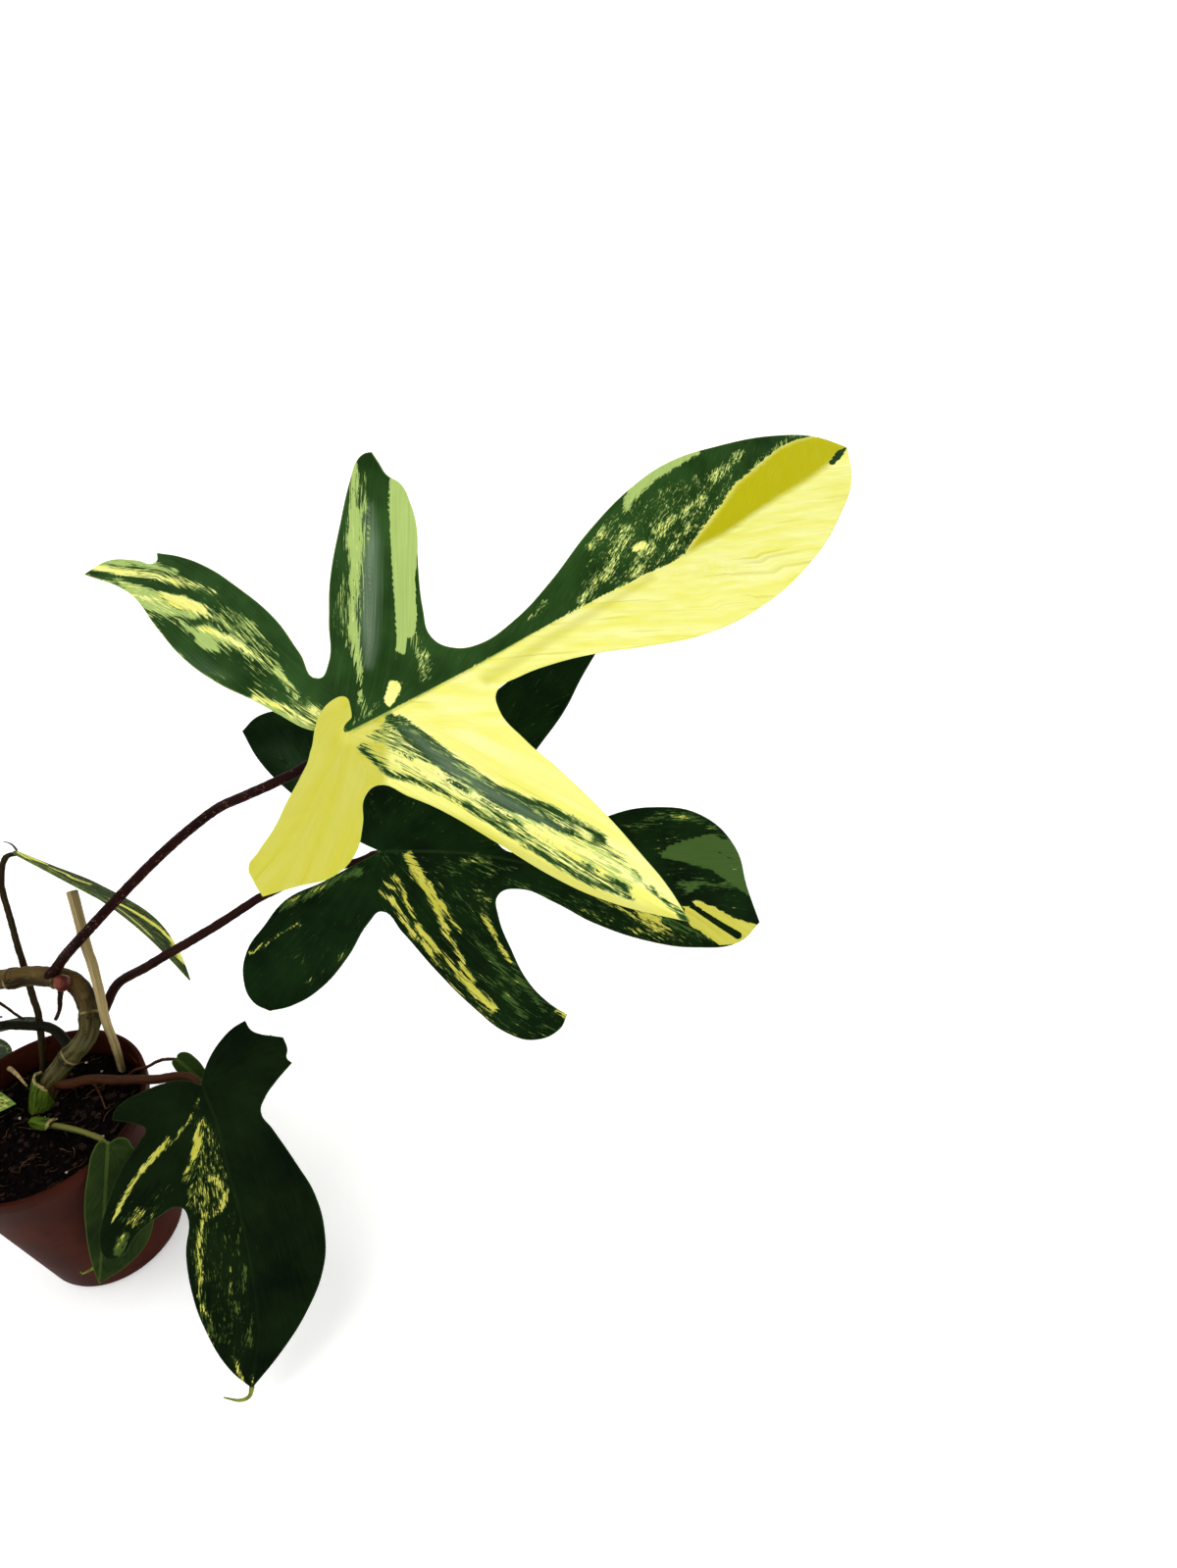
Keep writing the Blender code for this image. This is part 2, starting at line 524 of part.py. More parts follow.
def build():
    clear_scene()
    plant = collection("potted philodendron")
    tools = collection("cutters")

    clay = material("pot plastic", (0.20, 0.065, 0.04), 0.55)
    compost = material("compost", (0.02, 0.012, 0.008), 0.95)
    bark = material("stem skin", (0.13, 0.12, 0.05), 0.6)
    stalk = material("petiole skin", (0.055, 0.015, 0.012), 0.6)
    green_stalk = material("green petiole skin", (0.16, 0.30, 0.05), 0.5)
    root_skin = material("root skin", (0.06, 0.035, 0.02), 0.8)
    green = material("leaf green", (0.03, 0.11, 0.02), 0.35)
    wood = material("stake wood", (0.55, 0.42, 0.22), 0.75)
    sheath_skin = material("sheath green", (0.25, 0.36, 0.08), 0.5)
    bud_skin = material("bud red", (0.18, 0.04, 0.02), 0.45)

    build_pot(plant, tools, clay)
    soil = build_soil(plant, compost)

    for name, shape in LEAVES.items():
        blade(name, shape, plant, green)

    stem = tube("stem", STEM, STEM_R, STEM_R, plant, bark, node_swell)
    stem_space = tube("stem_space", STEM, STEM_R, STEM_R, tools, None, node_swell, SEAT)
    cut(soil, stem_space)

    for name, (route, start_r, end_r) in STALKS.items():
        skin = green_stalk if name == "petiole_heart" else stalk
        item = tube(name, route, start_r, end_r, plant, skin)
        joint, _, along, up = leaf_frame(LEAVES[LEAF_OF_STALK[name]])
        cut(item, joint_space(name + "_end", joint, along, up, BLADE / 2 + SEAT, tools))
        if name in FROM_STEM:
            cut(item, stem_space)
        if name in FROM_SOIL:
            cut(soil, tube(name + "_space", route, start_r, start_r, tools, None, None, SEAT))

    for name, (route, start_r, end_r) in ROOTS.items():
        cut(tube(name, route, start_r, end_r, plant, root_skin), stem_space)

    stake_body("stake", plant, wood)
    cut(soil, stake_body("stake_space", tools, None, SEAT))

    tube("spear", SPEAR, 3.6, 0.8, plant, green_stalk)

    bud = bmesh.new()
    size = Matrix.Diagonal((*[s * MM for s in BUD["size"]], 1))
    bmesh.ops.create_uvsphere(bud, u_segments=16, v_segments=10, radius=1,
                              matrix=Matrix.Translation(Vector(BUD["at"]) * MM) @ size)
    bud_item = add_object("bud", mesh_from(bud, "bud"), plant, bud_skin)
    cut(bud_item, stem_space)

    for name, shape in SHEATHS.items():
        sheath(name, shape, plant, tools, sheath_skin)
        route, low_r, high_r = shape[:3]
        room = tube(name + "_space", route, low_r + SHEATH_WALL, high_r + SHEATH_WALL, tools, None, None, SEAT)
        cut(soil, room)

    for item in tools.objects:
        item.hide_render = True
        item.display_type = "WIRE"
    for item in plant.objects:
        item.data.shade_smooth()
        item.data.set_sharp_from_angle(angle=radians(40))


build()
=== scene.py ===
"""The looks of a potted climbing philodendron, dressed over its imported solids.

Lengths are millimetres; MM turns them into Blender's metres. The sizes, routes and leaf outlines are
those of the part, so every piece lies where its solid does. Only a few outlines have finer points here,
the stake narrows to its foot, and the root under the bud is a little thicker. The pattern of each leaf
is drawn in the flat leaf, with the stalk's joint at (0, 0) and the midrib along +y, and bent with it.
"""

import bmesh
import bpy
import numpy as np
from functools import cache
from math import atan2, cos, hypot, pi, radians, sin
from mathutils import Matrix, Vector, noise
from random import Random


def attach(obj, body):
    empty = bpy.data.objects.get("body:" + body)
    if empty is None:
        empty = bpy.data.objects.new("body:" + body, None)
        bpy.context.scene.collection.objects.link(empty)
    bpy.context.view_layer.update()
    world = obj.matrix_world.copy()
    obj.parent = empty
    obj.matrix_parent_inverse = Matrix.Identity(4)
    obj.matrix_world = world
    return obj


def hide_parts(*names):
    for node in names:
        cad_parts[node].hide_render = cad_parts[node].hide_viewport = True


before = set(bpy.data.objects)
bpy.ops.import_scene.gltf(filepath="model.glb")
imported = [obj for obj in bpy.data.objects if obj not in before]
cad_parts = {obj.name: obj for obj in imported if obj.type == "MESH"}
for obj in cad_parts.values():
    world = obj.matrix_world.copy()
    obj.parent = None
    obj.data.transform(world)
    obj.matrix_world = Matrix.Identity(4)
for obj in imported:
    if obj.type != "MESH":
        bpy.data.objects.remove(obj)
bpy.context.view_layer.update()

MM = 0.001
BODY = "root"

# Driving sizes, the same as the part's
POT_HEIGHT = 98.0
POT_BASE_R = 36.0
POT_RIM_R = 52.5
POT_WALL = 1.5
POT_LIP = 7.0
POT_LIP_STEP = 1.3
POT_FLOOR = 1.8
POT_SLOPE = (POT_RIM_R - POT_LIP_STEP - POT_BASE_R) / POT_HEIGHT
POT_FLAT_R = 28.0
DRAIN_R = 4.0
DRAIN_RING_R = 23.0
DRAINS = 6
SOIL_TOP = 87.0
SOIL_EDGE = SOIL_TOP - 2
SEAT = 0.3
BLADE = 0.7
STEM_R = 5.0
STAKE_SIDE = 4.2
STAKE_FOOT = 0.68


# Leaf outlines: each is a list of runs, and a run goes from one sharp tip to the next. Points are
# (x, y) in the flat leaf, with the petiole's joint at (0, 0) and the midrib along +y.
LEAF_HIGH = [
    [(0, 0), (-6, -7), (-13, -14), (-24, -20), (-36, -26), (-54, -36), (-74, -43), (-95, -46), (-122, -49),
     (-145, -62)],
    [(-145, -62), (-146, -50), (-138, -39), (-131, -32), (-136, -29)],
    [(-136, -29), (-127, -21), (-113, -13), (-96, -7), (-68, 0), (-46, 1), (-30, 2), (-33, 8), (-52, 19),
     (-71, 30), (-92, 47), (-108, 63), (-112, 69), (-112, 73), (-110, 76)],
    [(-110, 76), (-104, 76), (-97, 76), (-89, 79), (-80, 78), (-70, 75), (-54, 66), (-35, 57), (-21, 53),
     (-11, 58), (-6, 68), (-7, 86), (-14, 110), (-26, 139), (-35, 167), (-39, 192), (-37, 219), (-31, 252),
     (-23, 272), (-12, 284)],
    [(-12, 284), (4, 273), (27, 243), (44, 210), (52, 176), (50, 149), (40, 125), (30, 108), (22, 90),
     (18, 74), (18, 63), (26, 59), (43, 61), (63, 66), (91, 71), (113, 73), (129, 74), (147, 73)],
    [(147, 73), (119, 51), (99, 39), (76, 28), (50, 15), (38, 7), (27, -1), (28, -8), (38, -15), (47, -24),
     (50, -36), (46, -50), (42, -64)],
    [(42, -64), (35, -64), (30, -63), (26, -56), (21, -46), (15, -36), (9, -25), (5, -18), (1, -13.5),
     (-2, -13.7), (-4, -13), (-4, -9), (-2.6, -4.4), (0, 0)],
]
LEAF_LOW = [
    [(0, 0), (-3, -12), (-10, -28), (-19, -49), (-33, -71), (-46, -83)],
    [(-46, -83), (-55, -76), (-60, -62), (-58, -42), (-46, -22), (-36, -6), (-34, 2), (-40, 9), (-58, 20),
     (-82, 38), (-102, 60), (-112, 90)],
    [(-112, 90), (-100, 85), (-83, 79), (-64, 69), (-42, 58), (-23, 54), (-13, 60), (-14, 74), (-24, 92),
     (-38, 109), (-46, 130), (-46, 152), (-34, 170), (-16, 179), (0, 188)],
    [(0, 188), (11, 180), (17, 160), (18, 140), (14, 110), (8, 90), (5, 72), (10, 62), (20, 64), (34, 73),
     (47, 84), (55, 96), (59, 106)],
    [(59, 106), (66, 104), (73, 94), (73, 80), (66, 62), (52, 38), (37, 18), (29, 6), (36, 0), (55, -8),
     (74, -20), (86, -34), (91, -45)],
    [(91, -45), (88, -54), (78, -60), (62, -60), (48, -53), (33, -44), (20, -26), (9, -12), (0, 0)],
]
LEAF_HANGING = [
    [(0, 0), (-3, -7), (-7, -13), (-13, -19), (-19, -23), (-25, -25)],
    [(-25, -25), (-27, -20), (-31, -17), (-36, -15), (-41, -13)],
    [(-41, -13), (-42, -7), (-41, -3), (-43, 0)],
    [(-43, 0), (-39, 3), (-34, 7), (-28, 13), (-25, 19), (-29, 28), (-37, 46), (-43, 62), (-44, 81),
     (-40, 96), (-30, 111), (-17, 124), (0, 137)],
    [(0, 137), (8, 126), (15, 107), (18, 90), (18, 73), (15, 56), (18, 52), (28, 54), (38, 59), (44, 66)],
    [(44, 66), (49, 67), (53, 65), (54, 56), (50, 45), (41, 29), (31, 18), (28, 14), (31, 11), (37, 8),
     (42, 6)],
    [(42, 6), (41, 3), (36, -1), (29, -3), (16, -5), (7, -4), (0, 0)],
]
LEAF_HEART = [
    [(0, 0), (3, -2), (6, 2), (8, 14), (9, 30), (8, 44), (6, 58), (3, 72), (0, 82)],
    [(0, 82), (-5, 79), (-13, 73), (-20, 63), (-23, 49), (-23, 34), (-19, 19), (-12, 6), (-6, -2), (0, 0)],
]
LEAF_SIDE = [
    [(0, 0), (9, 3), (18, 10), (26, 24), (30, 40), (30, 56), (25, 74), (16, 90), (8, 102), (0, 112)],
    [(0, 112), (-8, 102), (-16, 90), (-25, 74), (-30, 56), (-30, 40), (-26, 24), (-18, 10), (-9, 3), (0, 0)],
]
LEAF_YOUNG = [
    [(0, 0), (2, -1), (4, 2), (4.5, 7), (4, 13), (2, 18), (0, 22)],
    [(0, 22), (-3, 18), (-5, 13), (-6, 7), (-5, 1), (-2, -1), (0, 0)],
]
LEAF_SOIL = [
    [(0, 0), (5, -1), (9, 5), (10, 14), (8, 24), (4, 32), (0, 38)],
    [(0, 38), (-4, 32), (-8, 24), (-10, 14), (-9, 5), (-5, -1), (0, 0)],
]

# How a flat leaf is shaped in space. "rest" lists the joint, the upper face's normal and a point
# that the midrib heads for; "fold" is the V along the midrib and the y range over which it opens;
# "droop" is how far the sides, the back and the tip sink, each per (100 mm) squared, and the y
# where the tip starts; "wave" is the height, count and phase of the undulation round the joint.
LEAVES = {
    "leaf_high": {
        "outline": LEAF_HIGH,
        "rest": ((199, 26, 262), (0.08, -0.55, 0.83), (460, 131, 307)),
        "fold": (0.30, 30, 130), "droop": (6, 10, 12, 120), "wave": (3, 5, 0.6),
        "ear": {"cut": -146, "from": 152, "to": 205, "turn": 105, "lift": 11, "sink": 2},
    },
    "leaf_low": {
        "outline": LEAF_LOW,
        "rest": ((188, 58, 172), (-0.12, -0.78, 0.62), (363, 0, 131)),
        "fold": (0.22, 20, 100), "droop": (8, 8, 16, 80), "wave": (3, 5, 2.0),
    },
    "leaf_hanging": {
        "outline": LEAF_HANGING,
        "rest": ((86, -11, 107), (0.15, -0.64, 0.76), (92, -87, 42)),
        "fold": (0.12, 5, 60), "droop": (6, 10, 10, 60), "wave": (3, 5, 1.0),
    },
    "leaf_heart": {
        "outline": LEAF_HEART,
        "rest": ((45, -34, 105), (0.45, -0.88, 0.10), (10, -62, 15)),
        "fold": (0.10, 0, 30), "droop": (16, 0, 10, 40), "wave": (0, 5, 0),
    },
    "leaf_side": {
        "outline": LEAF_SIDE,
        "rest": ((4, 91, 190), (0.62, 0.60, 0.51), (90, 42, 143)),
        "fold": (0.10, 0, 30), "droop": (0, 0, 43, 55), "wave": (0, 5, 0),
    },
    "leaf_young": {
        "outline": LEAF_YOUNG,
        "rest": ((70, 10, 106), (0.1, -0.74, 0.66), (81, 2, 95)),
        "fold": (0.10, 0, 10), "droop": (20, 0, 30, 10), "wave": (0, 5, 0),
    },
    "leaf_left": {
        "outline": LEAF_LOW, "scale": 0.62, "mirror": True,
        "rest": ((-122, 66, 214), (-0.42, -0.3, 0.86), (-220, 84, 173)),
        "fold": (0.22, 12, 60), "droop": (14, 14, 30, 50), "wave": (3, 5, 2.0),
    },
    "leaf_soil": {
        "outline": LEAF_SOIL, "scale": 0.84,
        "rest": ((-46, 13, 103), (0.1, -0.45, 0.89), (-16, 9, 98)),
        "fold": (0.15, 0, 12), "droop": (25, 0, 30, 15), "wave": (0, 5, 0),
    },
    "leaf_back": {
        "outline": LEAF_HANGING, "scale": 0.72,
        "rest": ((-62, 54, 112), (-0.2, 0.8, 0.56), (-77, 99, 42)),
        "fold": (0.12, 5, 45), "droop": (16, 12, 14, 45), "wave": (3, 5, 1.0),
    },
}

# Routes of the stems, stalks and roots, and their half thickness from the first point to the last.
STEM = [(-13.5, 15, 76), (-7.5, 15, 85), (-3.5, 18, 92), (0.5, 20.5, 97), (6.5, 22, 102), (13.5, 23, 108),
        (22, 24, 114), (27, 27, 119), (28.5, 31.5, 123.5), (28, 37, 128), (26, 41.5, 133), (22, 45.5, 137),
        (16, 47.5, 139), (7.5, 50, 140), (-0.5, 52, 140.5), (-8, 52, 141), (-15.5, 53, 141), (-30, 54, 142),
        (-46, 50, 146), (-58, 42, 155), (-66, 31, 168)]
# How far along the stem its leaf scars are, and how far past each one a torn pale ring stands
STEM_NODES = (0.22, 0.35, 0.49, 0.62, 0.82)
TORN_RING = 2.2
STALKS = {
    "petiole_high": ([(8, 49.5, 138), (12.5, 47, 143), (18.5, 46, 148), (26.5, 43.5, 156), (42, 35.5, 171),
                      (65, 36.5, 188), (79.5, 39.5, 197.5), (96.5, 41.5, 208.5), (113.5, 41.5, 219),
                      (129.5, 39, 228.5), (146, 32, 237), (161.5, 25.5, 245), (176, 23, 251),
                      (190, 24.5, 257), (199, 26, 262)],
                     2.7, 2.1),
    "petiole_low": ([(28.5, 32, 124), (28.5, 36.5, 119), (31, 39, 118.5), (34, 41, 121.5),
                     (40.5, 42.5, 129.5), (48, 41, 136), (65.5, 34.5, 147), (80, 32, 155),
                     (93.5, 33.5, 159.5), (107, 39, 162), (120, 45, 164.5), (128, 49, 165.5),
                     (152, 60, 165), (174, 63, 164.5), (183, 63, 167), (188, 58, 172)],
                    2.5, 1.9),
    "petiole_hanging": ([(-1.5, 20, 93), (4.5, 17.5, 96), (12, 14.5, 98), (19, 14, 99), (27.5, 12, 100),
                         (40, 7, 102), (51, 3, 104), (62, -1, 106), (73, -3, 107.5), (80, -5.5, 107.5),
                         (86, -11, 107)],
                        2.6, 2.1),
    "petiole_heart": ([(-15, 7, 78), (-7.5, 3.5, 87), (3.5, -5, 93), (14, -12, 98), (27, -21, 103),
                       (34, -26, 105), (40.5, -30.5, 106), (45, -34, 105)],
                      1.7, 1.3),
    "petiole_side": ([(-16, 37, 78), (-12.5, 38, 88), (-9, 43, 101), (-7, 51, 115), (-8, 56, 122),
                      (-9, 65.5, 137), (-9, 70.5, 148), (-9, 77.5, 161), (-9, 83.5, 173), (-7, 86, 180),
                      (-3.5, 87.5, 187), (0, 89, 190), (4, 91, 190)],
                     1.9, 1.5),
    "petiole_young": ([(33, 29, 77), (37, 22, 88), (44, 16, 97), (53, 12, 102), (59, 12, 104.5),
                       (64, 11, 106), (70, 10, 106)],
                      0.9, 0.8),
    "petiole_left": ([(-46, 50, 146), (-52, 56, 155), (-62, 61, 171), (-80, 67, 190), (-100, 68, 204),
                      (-115, 66, 212), (-122, 66, 214)],
                     2.4, 1.9),
    "petiole_soil": ([(-36, 0, 77), (-40, 3, 86), (-46, 8, 95), (-48.5, 12, 100), (-46, 13, 103)],
                     1.0, 0.9),
    "petiole_back": ([(14.5, 25, 108), (11.5, 30, 110), (6.5, 36.5, 112.5), (0, 41.5, 113.5),
                      (-6.5, 43, 114.5), (-16.5, 45.5, 115), (-26, 47.5, 115), (-42, 49, 112.5),
                      (-55, 49.5, 109.5), (-62, 54, 112)],
                     2.7, 2.0),
}
ROOTS = {
    "root_bud": ([(14, 46, 133), (11, 46, 127), (8.5, 44.5, 121), (5.5, 42, 117)], 1.5, 0.9),
    "root_left": ([(-26, 54, 142), (-22.5, 48.5, 133), (-19.5, 48.5, 129), (-14.5, 46, 123),
                   (-10.5, 44, 119)],
                  0.8, 0.7),
}
STAKE = [(26.5, 33, 76), (31.5, 27, 87), (35, 27.5, 106), (37, 28.5, 123), (39.5, 32, 139), (40, 38, 152),
         (38.5, 44.5, 161), (38, 51, 170), (37.5, 59, 183)]
BUD = {"at": (19.8, 40.8, 141.6), "size": (4.2, 4.2, 4.2)}
# The cut sheaths: route, inner half thickness at the foot and the top, the side that is open, and
# how far from the route it opens. The tools that hollow and open one run past it and are larger.
SHEATH_WALL = 0.8
SHEATH_OVERRUN = 2.0
SHEATH_GAP = 40.0
SHEATHS = {
    "sheath_stem": ([(-8.9, 14.7, 83), (-5.5, 16.5, 88.5), (-2.5, 18.8, 93.5), (0, 20.3, 96.5)], 5.8, 8.1,
                    (0.9, 0.42, 0.0), 0.5),
    "sheath_heart": ([(-10.8, 5.1, 83), (-7.5, 3.5, 87), (3.5, -5, 93), (9, -9, 95.8)], 2.1, 2.9,
                     (0.45, -0.3, -0.84), 0.0),
}
SPEAR = [(-66.4, 30.3, 168.8), (-70, 25, 177), (-74, 16, 190), (-77, 8, 206), (-78, 2, 222)]

# The pattern of each leaf. A mark is (level, points) for a filled patch, or (level, points, half width)
# for a band, with two half widths where it tapers. On "pale", SOLID is all yellow, PLAIN all green, and
# what lies between is streaked with both; CRISP is all yellow with a cleaner edge. "lime" is drawn the
# same way. "gold" warms and darkens the yellow: partly the leaf's own warmer yellow, partly painted shade
# where the blade folds or turns away. The last pattern is a painted sheen, a reflection painted in, that
# greys the green and puts whitish glints on the yellow. Both run from 0 to 1.
SOLID = 1.3
PLAIN = -1.3
CRISP = 6.0
BLUR = {"pale": 4.5, "gold": 3.0, "lime": 3.0, "painted_sheen": 14.0}
EDGE_BLUR = 1.3
CRISP_BLUR = 2.4
CRISP_INSET = 0.7
MIDRIB_HIGH = [(0, 0), (1, 18), (2, 40), (3, 60), (3.5, 90), (5, 119), (7, 147), (8, 161), (7, 175), (7, 192),
               (3.5, 211), (0.5, 230), (-2, 248), (-7, 270), (-12, 284)]
BAND_TOP = [(1, 18), (5, 21.5), (20, 27.5), (32, 32), (54, 41), (64, 47), (80, 57), (97, 64.5), (118, 69.5)]
BAND_FOOT = [(124, 60), (105, 48), (82, 36), (66, 29.5), (52, 23.5), (32, 11), (26, 5), (7, 0.5)]
GREY_CORE = [(4, 18), (21, 26), (44, 34), (61, 42), (91, 57), (74, 44), (56, 35), (37, 26), (15, 19)]
PALE_WEDGE = [(64, 37), (90, 48), (114, 60), (123, 64), (120, 67), (102, 61), (78, 47)]
STREAKED_LOBE = [(-150, -75), (-155, -45), (-131, -30), (-109, -21), (-87, -14), (-62, -8), (-38, -9),
                 (-17, -3), (0, 0), (-15, -25), (-60, -50)]
DARK_STRIPE = [(-145, -60), (-127, -44), (-106, -28), (-93, -21)]
YELLOW_PATCH = [(-113, -38), (-104, -29), (-96, -23), (-84, -22), (-92, -28), (-100, -35), (-108, -39)]
PALE_RIM = [(-132, -50), (-118, -40), (-100, -35), (-92, -28), (-89, -29), (-98, -38), (-107, -45),
            (-119, -49)]
LOW_DARK = [(-103, -44), (-82, -35), (-74, -35), (-63, -26), (-45, -20), (-42, -28), (-66, -39), (-82, -44)]
VEIN_STREAK = [(-83, -30), (-75, -24), (-65, -19), (-49, -12), (-29, -10)]
MARGIN_PATCH = [(-26, 158), (-30, 160), (-34, 165), (-42, 172), (-45, 205), (-37, 210), (-35, 195),
                (-33, 180), (-30, 170)]
# The yellow sector on the far side of the terminal lobe's fold; the gold pattern darkens it as painted shade.
SHADED_YELLOW_SECTOR = [(7, 169), (1, 181), (-8, 201), (-15, 215), (-21, 237), (-24, 248), (-25, 260), (-24, 271),
                 (-27, 282), (-12, 290), (-12, 284), (-7, 270), (-2, 248), (0.5, 230), (3.5, 211), (7, 192)]
LIME_SECTOR = [(-95, 80), (-94, 76), (-83, 69), (-69, 61), (-50, 51), (-30, 41), (-24, 37), (-19, 38),
               (-27, 44), (-23, 46), (-36, 54), (-50, 62), (-62, 71), (-67, 80), (-88, 86)]
LONG_STREAK = [(-92, 56), (-79, 48), (-65, 39), (-50, 30), (-37, 24), (-24, 19), (-7, 10)]
SIDE_STREAK = [(-111, 67), (-103, 61), (-91, 54), (-80, 46)]
TOP_FLECKS = [(-88, -20), (-72, -12), (-50, -11)]
JOINT_FLECKS = [(-26, -12), (-18, -8), (-11, -8)]
NOTCH_FLECKS = [(-24, 46), (-12, 45), (-5, 40)]
FLECKS_HIGH = [
    ([(-19, 155), (-9, 142), (-2, 134)], 2.4), ([(-15, 196), (-12, 176), (-10, 165)], 2.4),
    ([(-5, 130), (-2, 124), (2, 116)], 1.8), ([(-29, 228), (-22, 206)], 2.4), ([(-6, 181), (1, 166)], 1.6),
    ([(-10, 168), (3, 144)], 2.6), ([(-24, 147), (-19, 135)], 2.0), ([(-7, 104), (-4, 94)], 1.3),
]
FLECKED_HIGH = [(8, 96), (-6, 120), (-28, 148), (-30, 190), (-24, 225), (-12, 212), (6, 180), (8, 150)]
PATTERN_HIGH = {
    "pale": (PLAIN, [
        (-0.65, STREAKED_LOBE),
        (0.35, [(-146, -58), (-134, -46), (-124, -36), (-107, -22), (-98, -17)], (2.4, 1.2)),
        (0.7, YELLOW_PATCH),
        (-0.1, PALE_RIM),
        (0.5, VEIN_STREAK, (1.6, 0.9)),
        (-0.5, TOP_FLECKS, 3.6),
        (0.6, [(-38, -26), (-26, -17), (-12, -11)], (1.5, 1.0)),
        (-0.1, JOINT_FLECKS, 3.6),
        (-1.0, LOW_DARK),
        (PLAIN, DARK_STRIPE, 1.1),
        (-0.7, FLECKED_HIGH),
        *[(-0.25, line, half) for line, half in FLECKS_HIGH],
        (0.9, [(-8, 152), (-8, 157)], 1.2),
        (-0.2, LONG_STREAK, (1.6, 1.0)),
        (-0.5, SIDE_STREAK, 1.4),
        (-0.4, NOTCH_FLECKS, 2.6),
        (CRISP, [(-12, 27), (-10, 30), (-6, 29), (-3, 25), (-1, 21), (-5, 20), (-9, 24)]),
        (CRISP, [*MIDRIB_HIGH, (-12, 290), (70, 290), (170, 80), (60, -80), (20, -80), (-12, -22), (-10, -15),
                 (-5, -8)]),
        (CRISP, SHADED_YELLOW_SECTOR),
        (-CRISP, [(-7, 267), (-12, 277), (-12, 283), (-8, 277), (-5, 268)]),
        (SOLID, [(3, 8), (4, 24), (30, 36), (60, 50), (100, 70), (150, 82), (150, 66), (90, 34), (40, 2),
                 (8, -4)]),
        (-0.05, [*BAND_TOP, *BAND_FOOT]),
        (0.4, [(5, 5), (28, 21), (42, 25), (38, 17), (25, 7), (12, 3)]),
        (PLAIN, GREY_CORE),
        (-0.9, [(2, 18), (5, 21.5), (20, 27), (32, 31), (54, 40), (64, 46), (80, 56)], (1.6, 1.0)),
        (0.45, PALE_WEDGE),
        (-0.6, [(60, 42), (70, 51), (82, 59), (98, 65)], 1.5),
        (-0.75, [(8, 1), (26, 5), (32, 11), (44, 19), (66, 30), (93, 42), (110, 50), (126, 61)], (1.5, 0.9)),
        (-0.8, [(118, 67), (128, 69), (147, 73)], (0.9, 1.7)),
        (-0.2, [(2, 4), (18, 14), (32, 24)], 0.9),
    ]),
    # Painted shade: the yellow sector beyond the fold and the downturned lower margin of the front lobe are
    # darkened to gold; the other marks warm the yellow.
    "gold": (0.0, [
        (0.7, [(20, -80), (60, -80), (60, 0), (28, 2), (0, 20), (-14, -14)]),
        (0.5, [(28, 0), (60, 22), (110, 50), (147, 74), (122, 46), (60, 8)]),
        (1.0, SHADED_YELLOW_SECTOR),
        (0.5, [(1, 0), (5, 8)], 4.0),
        (0.35, [(8, 60), (8, 150), (12, 150), (14, 60)]),
    ]),
    "lime": (PLAIN, [
        (-0.35, STREAKED_LOBE),
        (0.9, PALE_RIM),
        (0.6, [(-91, -36), (-83, -31), (-77, -25), (-66, -28), (-72, -35), (-81, -37)]),
        (0.7, VEIN_STREAK, 1.9),
        (-0.1, TOP_FLECKS, 4.5),
        (0.4, [(-147, -54), (-138, -40), (-120, -27)], 2.0),
        (0.5, [(-34, -25), (-23, -19), (-10, -12)], 1.8),
        (0.0, JOINT_FLECKS, 4.5),
        (-1.0, LOW_DARK),
        (PLAIN, DARK_STRIPE, 1.3),
        (-0.35, [(-20, 16), (-60, 44), (-104, 72), (-112, 70), (-90, 46), (-50, 20)]),
        (0.8, SIDE_STREAK, (1.6, 1.0)),
        (0.9, LONG_STREAK, (2.0, 1.2)),
        (CRISP, LIME_SECTOR),
        (-0.1, NOTCH_FLECKS, 3.4),
        (-0.65, FLECKED_HIGH),
        *[(0.05, line, half + 0.3) for line, half in FLECKS_HIGH],
        (0.9, MARGIN_PATCH),
        (-0.1, [(-20, 230), (-24, 243), (-28, 258), (-26, 270)], 1.8),
        (-0.3, [(-2, 0), (-9, 12), (-6, 20), (0, 20)]),
        (0.1, [*BAND_TOP, *BAND_FOOT]),
        (-0.8, GREY_CORE),
        (CRISP, PALE_WEDGE),
    ]),
    # Painted sheen: a reflection painted as grey bands on the green lobes and as whitish glints on the yellow
    # half.
    "painted_sheen": (0.0, [
        (1.2, [(-90, 62), (-74, 56), (-52, 43), (-30, 29), (-24, 23), (-44, 31), (-64, 43), (-80, 54)]),
        (1.1, [(10, 21), (44, 35), (61, 42), (84, 53), (74, 44), (56, 35), (37, 26)]),
        (0.7, [(-78, -43), (-66, -36), (-52, -30), (-60, -38)]),
        (0.8, [(14, 158), (30, 172), (38, 190), (30, 194), (18, 178)]),
    ]),
}
MIDRIB_LOW = [(0, 0), (-2.5, 13), (-5, 27), (-7, 42), (-8, 60), (-8, 90), (-7, 120), (-4.5, 149), (-3.7, 159),
              (-2, 171), (0, 181), (0, 188)]
BRIGHT_TIP = [(-5, 150), (-5, 158), (-3, 166), (0, 174), (2, 190), (8, 190), (12, 179), (14, 171), (10, 164),
              (7, 156), (3, 153)]
LIME_CORNER = [(-23, 136), (-29, 140), (-34, 150), (-38, 158), (-36, 172), (-24, 184), (-11, 188), (-12, 181),
               (-17, 171), (-22, 160), (-23, 147)]
FLECKED_LOBE = [(0, 0), (-5, 60), (8, 60), (30, 65), (60, 110), (80, 90), (30, 5)]
MARGIN_BAND = [(-33, 121), (-42, 132), (-44, 150), (-38, 163)]
VEIN_FLECKS = [(-3, 42), (-5, 48), (-5, 55)]
